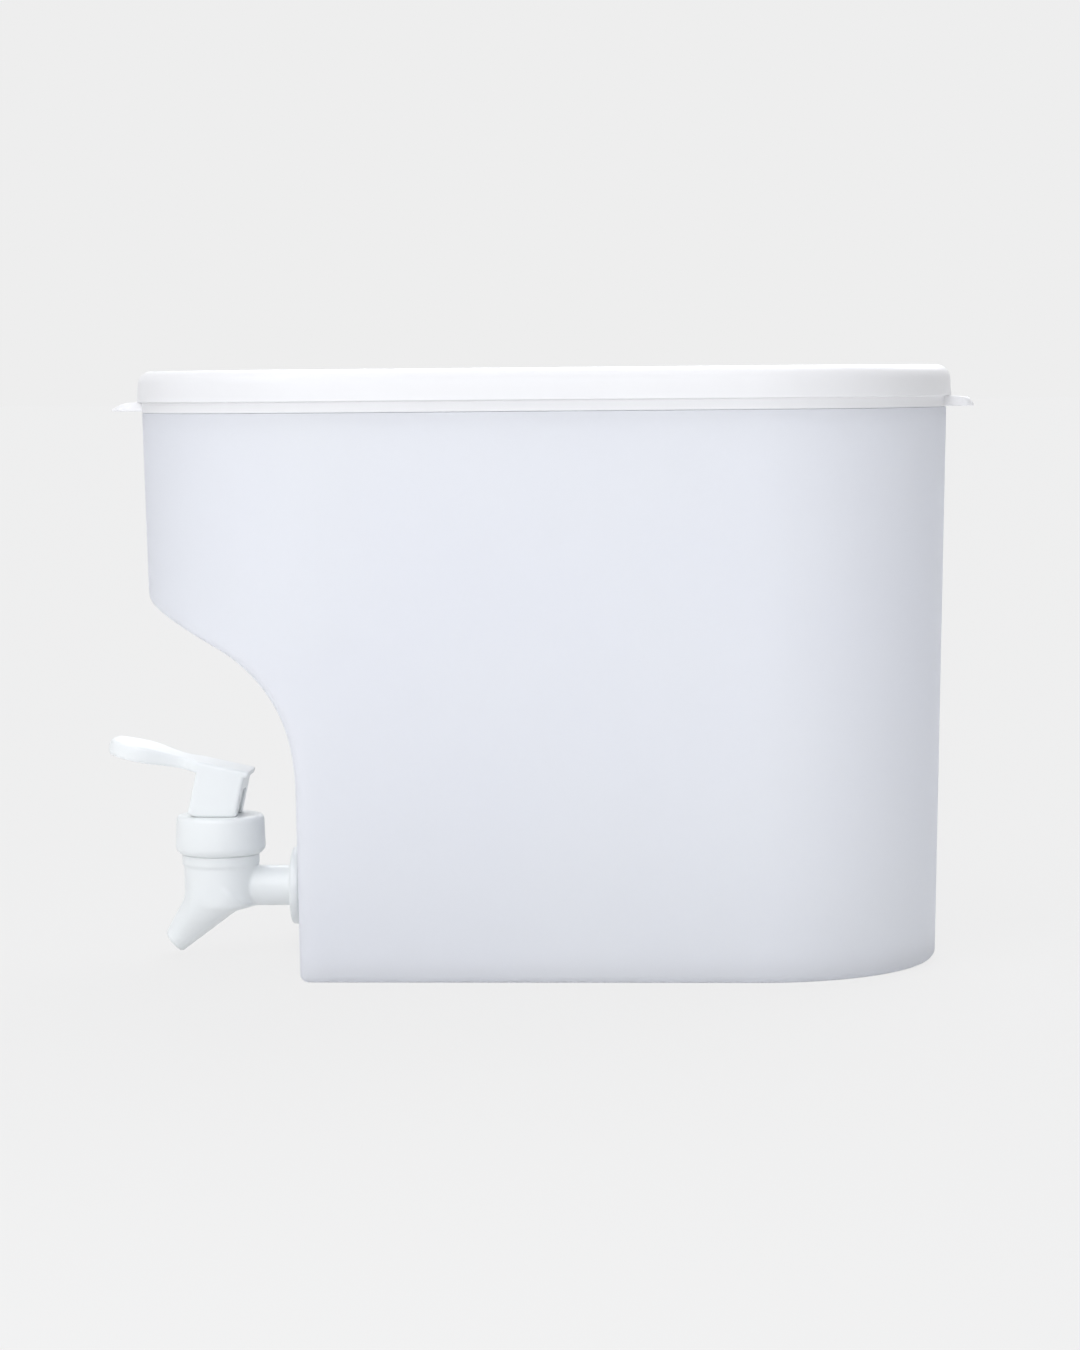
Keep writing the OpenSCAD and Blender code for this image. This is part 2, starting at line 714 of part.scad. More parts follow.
// Plan of the lever about its pivot, drawn in by inset
module lever_plan(inset) {
    neck_x = -block_front - neck_blend;
    back_x = block_back + lip_reach;
    corner = [for (i = [0 : 4]) let (u = i / 4)
        [-block_front + u * (neck_x + block_front),
         block_width / 2 + ease(u) * (neck_width - block_width) / 2 - inset]];
    widen = [for (i = [1 : 7]) let (u = i / 8)
        [neck_x + u * (paddle_centre - neck_x),
         neck_width / 2 + ease(u) * (paddle_width - neck_width) / 2 - inset]];
    edge = concat([[back_x, block_width / 2 - inset]], corner, widen);
    polygon(concat(
        edge,
        arc([paddle_centre, 0], paddle_radius - inset, 90, 270, 24),
        [for (i = [len(edge) - 1 : -1 : 0]) [edge[i][0], -edge[i][1]]]
    ));
}

// Side view of what lies above the heel cam while the tap is shut
module above_heel() {
    last = heel_point(lever_travel);
    polygon(concat(
        [[far, far], [far, -heel_drop]],
        [for (i = [0 : 10]) heel_point(lever_travel * i / 10)],
        [last + lever_reach * [-cos(lever_travel), sin(lever_travel)], [-far, far]]
    ));
}

module lever() color([0.96, 0.96, 0.98]) translate([tub_x + tap_x, 0, pivot_height]) {
    rim = 1.6;
    hollow_end = -block_front - 2.5;
    difference() {
        intersection() {
            rotate([0, lever_tilt, 0]) difference() {
                intersection() {
                    across(2 * block_width) lever_side(0);
                    translate([0, 0, -far / 2]) linear_extrude(far) lever_plan(0);
                }
                difference() {
                    intersection() {
                        across(2 * block_width) lever_side(paddle_skin);
                        translate([0, 0, -far / 2]) linear_extrude(far) lever_plan(rim);
                    }
                    translate([hollow_end, -far / 2, -far / 2]) cube([far, far, far]);
                    translate([-far, -rim / 2, 0]) cube([far, rim, far]);
                }
                translate([-slot_front, -slot_width / 2, -far])
                    cube([far, slot_width, far + head_radius + head_gap]);
            }
            across(2 * block_width) above_heel();
        }
        across(2 * trunnion_reach + 0.6) circle(r = trunnion_radius + trunnion_gap);
    }
}

// A flat ring on the inlet's axis
module washer(x, thickness, radius) {
    along_inlet(x) difference() {
        cylinder(r = radius, h = thickness);
        translate([0, 0, -1]) cylinder(r = hole_radius, h = thickness + 2);
    }
}

module outer_washer() color([0.88, 0.9, 0.9]) translate([tub_x, 0, 0])
    washer(flange_back, outer_washer_thickness, outer_washer_radius);

module inner_washer() color([0.88, 0.9, 0.9]) translate([tub_x, 0, 0])
    washer(inner_seat_face, inner_washer_thickness, inner_washer_radius);

module lock_nut() color([0.94, 0.96, 0.96]) translate([tub_x, 0, 0]) {
    corner_radius = nut_flats / 2 / cos(30);
    along_inlet(inner_washer_face) difference() {
        union() {
            cylinder(r = inner_washer_radius - 0.2, h = nut_flange);
            intersection() {
                cylinder(r = corner_radius, h = nut_thickness, $fn = 6);
                rotate_extrude() polygon([
                    [0, 0], [corner_radius, 0], [corner_radius, nut_thickness - 0.8],
                    [corner_radius - 1.4, nut_thickness], [0, nut_thickness]]);
            }
        }
        translate([0, 0, -1]) cylinder(r = hole_radius, h = nut_thickness + 2);
    }
}

container();
lid();
tap_body();
bonnet();
lever();
valve_stem();
seat_cup();
return_spring();
outer_washer();
inner_washer();
lock_nut();
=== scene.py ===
"""Dresses a slim countertop dispenser: a drafted tub, a snap lid and a lever tap.

Sizes are in millimetres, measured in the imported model's frame or from the named origin of each piece,
and turn into metres where a mesh is made.
"""

import logging
from collections.abc import Callable, Sequence
from dataclasses import dataclass, field
from enum import Enum
from math import acos, asin, atan2, cos, degrees, pi, radians, sin, sqrt, tan

import bmesh
import bpy
import numpy as np
from mathutils import Matrix, Vector


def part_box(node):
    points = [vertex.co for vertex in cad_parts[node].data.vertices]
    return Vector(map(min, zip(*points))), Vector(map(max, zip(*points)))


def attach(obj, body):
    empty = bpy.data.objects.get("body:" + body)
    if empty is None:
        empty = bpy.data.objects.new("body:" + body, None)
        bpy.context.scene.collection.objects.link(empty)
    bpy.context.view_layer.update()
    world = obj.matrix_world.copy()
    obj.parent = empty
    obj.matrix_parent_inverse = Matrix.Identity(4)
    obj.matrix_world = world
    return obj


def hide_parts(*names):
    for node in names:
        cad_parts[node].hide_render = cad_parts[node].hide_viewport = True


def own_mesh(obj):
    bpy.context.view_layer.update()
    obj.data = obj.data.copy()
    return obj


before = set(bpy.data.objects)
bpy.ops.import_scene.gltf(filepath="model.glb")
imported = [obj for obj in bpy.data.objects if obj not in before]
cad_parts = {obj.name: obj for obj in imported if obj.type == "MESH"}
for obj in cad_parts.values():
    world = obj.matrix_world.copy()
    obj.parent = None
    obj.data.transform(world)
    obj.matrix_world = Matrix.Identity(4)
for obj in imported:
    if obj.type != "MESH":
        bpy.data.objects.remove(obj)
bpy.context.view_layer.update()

log = logging.getLogger("dispenser")

Array = np.ndarray
Field = Callable[[Array], Array]
Outline = Sequence[tuple[float, float]]
Pairs = list[tuple[float, float]]
Piece = bpy.types.Object
Tree = bpy.types.NodeTree
Socket = bpy.types.NodeSocket

MM = 0.001  # metres in a millimetre
WELD = 1e-7  # metres within which vertices are one
NOISE_BAND = (0.3, 0.7)  # where nearly all of a noise's values lie
RUB_PER_GRAIN = 6  # width of a rubbed patch, in grains
CREASE, LID_CREASE, TAP_CREASE, WIRE_CREASE = 32.0, 30.0, 40.0, 60.0  # degrees above which an edge is sharp
TINY, TINIEST, FAR = 1e-9, 1e-18, 1e18  # guards for divisions, and a distance beyond any other
PROBE = 0.01  # half the width over which a slope is measured
CORE = 0.3  # radius at which a lathed solid stops short of its axis
PAST_AXIS = -9.0  # how far a revolved field's outline runs past its axis, which then lies deep inside
TOUCH = 1e-6  # length below which two edges meet
SEARCH_FROM, HALVINGS = -140.0, 40  # X ahead of the tub where a search for its front starts, and its steps
SETTLE_PASSES, SECTION_SLOPE = 14, 0.04  # passes that settle a section line, and the least squared slope
PULL_PASSES, PULL_CELLS, SKIN_SLOPE = 4, 0.6, 0.05  # the same for a skin, and the most cells of one pull


class Body(Enum):
    """The moving bodies that a piece can ride on."""

    ROOT = "root"
    LID = "lid"
    STEM = "stem"
    LEVER = "lever"


class Slot(Enum):
    """The record's material slots."""

    TUB = "tub_plastic"
    LID = "lid_plastic"
    TAP = "tap_plastic"
    SILICONE = "silicone"
    SPRING = "spring_steel"


# ---------------------------------------------------------------- finishes


def linear(code: str) -> tuple[float, float, float, float]:
    """Turns an sRGB hex code into linear colour.

    Args:
        code: Six hex digits, with or without a leading hash.

    Returns:
        Red, green, blue and an alpha of 1.
    """
    values = [int(code.lstrip("#")[i : i + 2], 16) / 255 for i in (0, 2, 4)]
    r, g, b = (v / 12.92 if v <= 0.04045 else ((v + 0.055) / 1.055) ** 2.4 for v in values)
    return r, g, b, 1.0


def clear_tree(owner: bpy.types.Material | bpy.types.World) -> Tree:
    """Switches on the nodes of a material or a world, and empties them.

    Args:
        owner: The material or the world.

    Returns:
        Its empty node tree.
    """
    owner.use_nodes = True
    owner.node_tree.nodes.clear()
    return owner.node_tree


def add_node(tree: Tree, kind: str, settings: dict | None = None, **inputs: object) -> bpy.types.Node:
    """Adds a shader node with its settings and links.

    Args:
        tree: The node tree to add to.
        kind: The node's type name, without its ShaderNode prefix.
        settings: Properties of the node itself.
        **inputs: Socket names, with spaces as underscores, and the value or output socket each takes.

    Returns:
        The new node.
    """
    made = tree.nodes.new("ShaderNode" + kind)
    for name, value in (settings or {}).items():
        setattr(made, name, value)
    for name, value in inputs.items():
        if name.startswith("in") and name[2:].isdigit():
            socket = made.inputs[int(name[2:])]
        else:
            socket = made.inputs[name.replace("_", " ")]
        if isinstance(value, Socket):
            tree.links.new(value, socket)
        else:
            socket.default_value = value
    return made


@dataclass(frozen=True)
class Moulding:
    """A moulded plastic, rubber or drawn metal finish with its grain and wear.

    The colour drifts between colour and shade over the width flow, and the roughness varies by gloss_spread
    in rubbed patches. The skin has a fine grain and a wide ripple, each with its own height. see_through is
    the share of light that passes through the wall. Lengths are in millimetres.
    """

    name: str
    colour: str
    shade: str
    roughness: float
    ior: float = 1.49
    metallic: float = 0.0
    scatter: float = 0.0
    scatter_depth: float = 3.0
    grain: float = 0.9
    grain_height: float = 0.012
    flow: float = 55.0
    flow_height: float = 0.0
    gloss_spread: float = 0.05
    see_through: float = 0.0

    def material(self) -> bpy.types.Material:
        """Builds the finish as a node material.

        Returns:
            The material.
        """
        made = bpy.data.materials.new(self.name)
        tree = clear_tree(made)
        place = add_node(tree, "TexCoord").outputs["Object"]

        def noise(size: float, detail: float, roughness: float) -> Socket:
            """Noise with features of a size in millimetres."""
            wave = add_node(
                tree, "TexNoise", Vector=place, Scale=1 / (size * MM), Detail=detail, Roughness=roughness
            )
            return wave.outputs["Fac"]

        mottle = noise(self.flow, 3.0, 0.55)
        tint = add_node(tree, "ValToRGB", in0=mottle)
        for stop, at, code in zip(tint.color_ramp.elements, NOISE_BAND, (self.shade, self.colour)):
            stop.position, stop.color = at, linear(code)
        rub, (low, high) = noise(self.grain * RUB_PER_GRAIN, 4.0, 0.6), NOISE_BAND
        smooth, rough = self.roughness - self.gloss_spread, self.roughness + self.gloss_spread
        gloss = add_node(tree, "MapRange", in0=rub, in1=low, in2=high, in3=smooth, in4=rough)
        bump = add_node(
            tree, "Bump", Height=noise(self.grain, 2.0, 0.5), Strength=1.0, Distance=self.grain_height * MM
        )
        if self.flow_height:
            bump = add_node(
                tree, "Bump", Height=mottle, Strength=1.0, Distance=self.flow_height * MM,
                Normal=bump.outputs["Normal"],
            )
        shader = add_node(
            tree, "BsdfPrincipled", Base_Color=tint.outputs["Color"], Roughness=gloss.outputs["Result"],
            Normal=bump.outputs["Normal"], IOR=self.ior, Metallic=self.metallic,
            Subsurface_Weight=self.scatter, Subsurface_Radius=(1.0, 1.0, 1.0),
            Subsurface_Scale=self.scatter_depth * MM,
        )
        surface = shader.outputs["BSDF"]
        if self.see_through:
            back = add_node(tree, "BsdfTranslucent", Color=tint.outputs["Color"])
            mix = add_node(tree, "MixShader", in0=self.see_through, in1=surface, in2=back.outputs["BSDF"])
            surface = mix.outputs["Shader"]
        add_node(tree, "OutputMaterial", Surface=surface)
        return made


# Injection-moulded natural polypropylene: a milky blue-white wall with a satin skin. Half the light passes.
MILKY_POLYPROPYLENE = Moulding(
    "natural_polypropylene_moulded", "FCFDFF", "FBFCFF", 0.42, see_through=0.5,
    grain=1.1, grain_height=0.01, flow=90.0, flow_height=0.05,
)
# Injection-moulded low-density polyethylene: opaque white, with a waxy sheen where it is pressed on and off.
LID_POLYETHYLENE = Moulding(
    "white_polyethylene_moulded", "E8E8E9", "E6E6E7", 0.38, ior=1.51, scatter=0.3, scatter_depth=1.5,
    grain=0.9, grain_height=0.008, flow=70.0, flow_height=0.04,
)
# White polypropylene from a polished mould, for the tap: opaque, a little greener and glossier than the tub.
TAP_POLYPROPYLENE = Moulding(
    "white_polypropylene_polished_mould", "EFF2F2", "EDF0F0", 0.33,
    grain=0.7, grain_height=0.006, flow=25.0, flow_height=0.02, gloss_spread=0.03,
)
# Pressed silicone: soft, dusty and slightly clear.
PRESSED_SILICONE = Moulding(
    "silicone_pressed", "DFE3E3", "D6DADA", 0.6, ior=1.41, scatter=0.5, scatter_depth=2.0,
    grain=0.5, grain_height=0.01, flow=12.0,
)
# Stainless spring wire: bright, with the fine lines of the drawing die.
DRAWN_STEEL = Moulding(
    "stainless_steel_drawn", "C9CACC", "BDBEC1", 0.3, ior=1.5, metallic=1.0,
    grain=0.25, grain_height=0.004, flow=6.0, gloss_spread=0.03,
)


# ---------------------------------------------------------------- mesh tools


def new_piece(
    name: str, points: Array, faces: Sequence[Sequence[int]], crease: float = CREASE
) -> Piece:
    """Makes a mesh object from points in millimetres.

    Args:
        name: The piece's name.
        points: One row of X, Y and Z for each vertex.
        faces: Vertex indices of each face.
        crease: Angle in degrees above which an edge is shaded sharp.

    Returns:
        The object, linked to the scene.
    """
    mesh = bpy.data.meshes.new(name)
    mesh.from_pydata((np.asarray(points, float) * MM).tolist(), [], [list(map(int, f)) for f in faces])
    made = bpy.data.objects.new(name, mesh)
    bpy.context.scene.collection.objects.link(made)
    tidy_mesh(made, crease)
    return made


def tidy_mesh(piece: Piece, crease: float) -> None:
    """Welds, turns the faces outwards and sets smooth shading with sharp creases.

    Args:
        piece: The mesh object.
        crease: Angle in degrees above which an edge is shaded sharp.
    """
    work = bmesh.new()
    work.from_mesh(piece.data)
    bmesh.ops.remove_doubles(work, verts=work.verts, dist=WELD)
    bmesh.ops.dissolve_degenerate(work, edges=work.edges, dist=WELD)
    bmesh.ops.delete(work, geom=[edge for edge in work.edges if not edge.link_faces], context="EDGES")
    bmesh.ops.recalc_face_normals(work, faces=work.faces)
    for face in work.faces:
        face.smooth = True
    work.to_mesh(piece.data)
    work.free()
    piece.data.set_sharp_from_angle(angle=radians(crease))


def stack_rings(
    rings: Sequence[Array], cap_start: bool = True, cap_end: bool = True
) -> tuple[Array, list[list[int]]]:
    """Joins closed rings of equal count with quads.

    Args:
        rings: The rings, each one row of X, Y and Z per point.
        cap_start: Whether the first ring is filled.
        cap_end: Whether the last ring is filled.

    Returns:
        All points, and the faces.
    """
    count = len(rings[0])
    turn = np.arange(count)
    after = (turn + 1) % count
    faces: list[list[int]] = []
    for i in range(len(rings) - 1):
        a, b = i * count, (i + 1) * count
        faces += np.stack([a + turn, a + after, b + after, b + turn], axis=1).tolist()
    if cap_start:
        faces.append(turn[::-1].tolist())
    if cap_end:
        faces.append((turn + (len(rings) - 1) * count).tolist())
    return np.concatenate(rings), faces


def arc(cx: float, cy: float, radius: float, start: float, stop: float, steps: int) -> Pairs:
    """Points of an arc, ends included, with angles in degrees."""
    turns = np.radians(np.linspace(start, stop, steps + 1))
    return [(cx + radius * cos(t), cy + radius * sin(t)) for t in turns]


def corners_of(low_u: float, low_v: float, high_u: float, high_v: float) -> Pairs:
    """Corners of an upright rectangle, from its lowest corner."""
    return [(low_u, low_v), (high_u, low_v), (high_u, high_v), (low_u, high_v)]


def slow_ends(steps: int) -> list[float]:
    """Shares from 0 to 1 that start and end gently."""
    return [(1 - cos(pi * i / steps)) / 2 for i in range(steps + 1)]


def round_corner(
    before: Sequence[float], corner: Sequence[float], after: Sequence[float], radius: float, steps: int
) -> Pairs:
    """Points of one rounded corner.

    Args:
        before: The point before the corner.
        corner: The corner.
        after: The point after the corner.
        radius: Radius of the rounding.
        steps: Segments of the rounding.

    Returns:
        The rounded corner, or the corner itself where it hardly turns.
    """
    here = np.array(corner, float)
    u, v = np.array(before, float) - here, np.array(after, float) - here
    long_u, long_v = np.linalg.norm(u), np.linalg.norm(v)
    u, v = u / long_u, v / long_v
    half = acos(max(-1.0, min(1.0, float(u @ v)))) / 2
    if half > radians(80):
        return [tuple(here)]
    cut = min(radius / tan(half), 0.45 * long_u, 0.45 * long_v)
    share = np.linspace(0, 1, steps + 1)[:, None]
    left = 1 - share
    points = left**2 * (here + cut * u) + 2 * share * left * here + share**2 * (here + cut * v)
    return [tuple(p) for p in points.tolist()]


def soften(outline: Outline, radius: float, steps: int = 4) -> Pairs:
    """Rounds each corner of a closed outline.

    Args:
        outline: The outline's corners.
        radius: Radius of the roundings.
        steps: Segments of each rounding.

    Returns:
        The rounded outline.
    """
    out: Pairs = []
    for i, here in enumerate(outline):
        out += round_corner(outline[i - 1], here, outline[(i + 1) % len(outline)], radius, steps)
    return out


def soften_path(path: Outline, radius: float, steps: int = 4) -> Pairs:
    """Rounds the corners of an open path and keeps its ends.

    Args:
        path: The path's points.
        radius: Radius of the roundings.
        steps: Segments of each rounding.

    Returns:
        The rounded path.
    """
    out = [tuple(path[0])]
    for before, here, after in zip(path, path[1:], path[2:]):
        out += round_corner(before, here, after, radius, steps)
    return out + [tuple(path[-1])]


def lathe(
    name: str, profile: Sequence[tuple[Array | float, float]], segments: int = 96, axis_x: bool = False,
    crease: float = CREASE,
) -> Piece:
    """Revolves a closed profile of radius and height.

    Args:
        name: The piece's name.
        profile: Closed outline of radius and height, with no point on the axis. A radius may also be an
            array, with one radius for each step round the axis.
        segments: Steps round the axis.
        axis_x: Whether the profile's height runs along +X and not along +Z.
        crease: Angle in degrees above which an edge is shaded sharp.

    Returns:
        The piece, about the origin.
    """
    turns = np.linspace(0, 2 * pi, segments, endpoint=False)
    rings = []
    for radius, height in profile:
        c, s, h = radius * np.cos(turns), radius * np.sin(turns), np.full(segments, float(height))
        rings.append(np.stack([h, c, s] if axis_x else [c, s, h], axis=1))
    rings.append(rings[0])
    return new_piece(name, *stack_rings(rings, False, False), crease)


def shift(piece: Piece, x: float = 0.0, y: float = 0.0, z: float = 0.0) -> Piece:
    """Moves a piece's mesh by millimetres and returns the piece."""
    piece.data.transform(Matrix.Translation(Vector((x, y, z)) * MM))
    return piece


def combine(piece: Piece, tool: Piece, how: str, crease: float) -> Piece:
    """Joins or cuts a piece with another solid, which is used up.

    Args:
        piece: The piece that is kept.
        tool: The solid that is added or taken away.
        how: UNION or DIFFERENCE.
        crease: Angle in degrees above which an edge is shaded sharp.

    Returns:
        The piece.
    """
    step = piece.modifiers.new("combine", "BOOLEAN")
    step.operation, step.object, step.solver = how, tool, "EXACT"
    graph = bpy.context.evaluated_depsgraph_get()
    mesh = bpy.data.meshes.new_from_object(piece.evaluated_get(graph))
    piece.modifiers.remove(step)
    old = piece.data
    piece.data = mesh
    mesh.name = piece.name
    bpy.data.meshes.remove(old)
    spent = tool.data
    bpy.data.objects.remove(tool)
    bpy.data.meshes.remove(spent)
    tidy_mesh(piece, crease)
    return piece


# ---------------------------------------------------------------- solid fields


def polygon_distance(u: Array, v: Array, outline: Outline) -> Array:
    """Signed distance to a closed outline, negative inside.

    Args:
        u: First coordinate of each point.
        v: Second coordinate of each point.
        outline: The outline's corners.

    Returns:
        The distance for each point.
    """
    pts = np.asarray(outline, float)
    nearest = np.full(u.shape, FAR)
    inside = np.zeros(u.shape, bool)
    for (ax, ay), (bx, by) in zip(pts, np.roll(pts, -1, axis=0)):
        ex, ey = bx - ax, by - ay
        wx, wy = u - ax, v - ay
        t = np.clip((wx * ex + wy * ey) / (ex * ex + ey * ey + TINIEST), 0, 1)
        nearest = np.minimum(nearest, (wx - ex * t) ** 2 + (wy - ey * t) ** 2)
        crosses = ((ay > v) != (by > v)) & (wx < ex * wy / (ey + (TINIEST if ey == 0 else 0)))
        inside ^= crosses
    return np.where(inside, -1, 1) * np.sqrt(nearest)


def ease(share: Array) -> Array:
    """Smooth step from 0 to 1 over shares from 0 to 1."""
    held = np.clip(share, 0, 1)
    return held * held * (3 - 2 * held)


def blend_union(a: Array, b: Array, width: Array | float) -> Array:
    """Union of two fields with a fillet in the corner between them, about width in radius."""
    h = np.maximum(width - np.abs(a - b), 0) / width
    return np.minimum(a, b) - h * h * width / 4


def blend_common(a: Array, b: Array, radius: float) -> Array:
    """Common part of two fields, with their shared edge rounded to a radius."""
    u, v = np.maximum(a + radius, 0), np.maximum(b + radius, 0)
    return np.minimum(np.maximum(a, b), -radius) + np.hypot(u, v)


def slope_of(shape: Field, points: Array) -> Array:
    """Gradient of a field by central differences.

    Args:
        shape: The field.
        points: Where it is measured.

    Returns:
        The gradient, one row for each point.
    """
    out = np.zeros_like(points)
    for axis in range(3):
        move = np.zeros(3)
        move[axis] = PROBE
        out[:, axis] = (shape(points + move) - shape(points - move)) / (2 * PROBE)
    return out


def skin(name: str, shape: Field, low: Sequence[float], high: Sequence[float], cell: float) -> Piece:
    """Wraps a quad mesh round a field's inside, then pulls each vertex onto its surface.

    Args:
        name: The piece's name.
        shape: Signed distance, negative inside, of points in millimetres.
        low: Lowest corner of the space searched.
        high: Highest corner of the space searched.
        cell: Size of a mesh cell.

    Returns:
        The piece.
    """
    axes = [np.arange(a, b + cell, cell) for a, b in zip(low, high)]
    size = tuple(len(a) for a in axes)
    values = np.empty(size)
    yz = np.stack(np.meshgrid(axes[1], axes[2], indexing="ij"), axis=-1).reshape(-1, 2)
    for i, x in enumerate(axes[0]):
        values[i] = shape(np.column_stack([np.full(len(yz), x), yz])).reshape(size[1:])
    inside = values < 0
    cells = tuple(n - 1 for n in size)
    total, count = np.zeros(cells + (3,)), np.zeros(cells)
    corners = [(i, j, k) for i in (0, 1) for j in (0, 1) for k in (0, 1)]

    def part(grid: Array, at: tuple[int, int, int]) -> Array:
        """One corner of every cell."""
        return grid[at[0] : at[0] + cells[0], at[1] : at[1] + cells[1], at[2] : at[2] + cells[2]]

    for a in corners:
        for axis in range(3):
            if a[axis]:
                continue
            b = tuple(v + (1 if n == axis else 0) for n, v in enumerate(a))
            va, vb = part(values, a), part(values, b)
            hit = part(inside, a) != part(inside, b)
            t = np.where(hit, va / np.where(hit, va - vb, 1), 0)
            for n in range(3):
                total[..., n] += np.where(hit, a[n] + (t if n == axis else 0), 0)
            count += hit
    live = count > 0
    index = np.full(cells, -1)
    index[live] = np.arange(live.sum())
    where = np.argwhere(live)
    points = (where + total[live] / count[live][:, None]) * cell + np.array([a[0] for a in axes])
    faces = []
    for axis in range(3):
        m, n = (axis + 1) % 3, (axis + 2) % 3
        near, far = [slice(None)] * 3, [slice(None)] * 3
        near[axis], far[axis] = slice(0, -1), slice(1, None)
        flip = inside[tuple(near)]
        hits = np.argwhere(flip != inside[tuple(far)])
        hits = hits[(hits[:, m] > 0) & (hits[:, n] > 0) & (hits[:, m] < cells[m]) & (hits[:, n] < cells[n])]
        quad = []
        for dm, dn in ((-1, -1), (0, -1), (0, 0), (-1, 0)):
            at = hits.copy()
            at[:, m] += dm
            at[:, n] += dn
            quad.append(index[tuple(at.T)])
        quad = np.stack(quad, axis=1)
        turned = ~flip[tuple(hits.T)]
        quad[turned] = quad[turned][:, ::-1]
        faces.append(quad)
    for _ in range(PULL_PASSES):
        slope = slope_of(shape, points)
        pull = slope * (shape(points) / np.maximum((slope**2).sum(1), SKIN_SLOPE))[:, None]
        length = np.linalg.norm(pull, axis=1, keepdims=True)
        points = points - pull * np.minimum(1, PULL_CELLS * cell / np.maximum(length, TINY))
    return new_piece(name, points, np.concatenate(faces).tolist(), TAP_CREASE)


# ---------------------------------------------------------------- tub


@dataclass(frozen=True)
class Wall:
    """Drafted side wall of the tub: a straight stretch between two round ends."""

    end_x: float = 67.0
    shoulder_radius: float = 59.0
    shoulder: float = 172.7
    draft: float = 1.15

    def radius(self, z: Array | float) -> Array | float:
        """Outside radius of a round end at a height."""
        return self.shoulder_radius - (self.shoulder - z) * tan(radians(self.draft))

    def inward(self, p: Array) -> tuple[Array, Array]:
        """Distance in from the wall, and its direction, at points about the tub's middle.

        Args:
            p: Points about the tub's middle.

        Returns:
            The distance, and the unit direction that it grows in, for each point.
        """
        near = np.clip(p[:, 0], -self.end_x, self.end_x)
        ex, ey = p[:, 0] - near, p[:, 1]
        reach = np.maximum(np.hypot(ex, ey), TINY)
        c, s = cos(radians(self.draft)), sin(radians(self.draft))
        value = (self.radius(p[:, 2]) - reach) * c
        return value, np.stack([-ex / reach * c, -ey / reach * c, np.full(len(p), s)], axis=1)


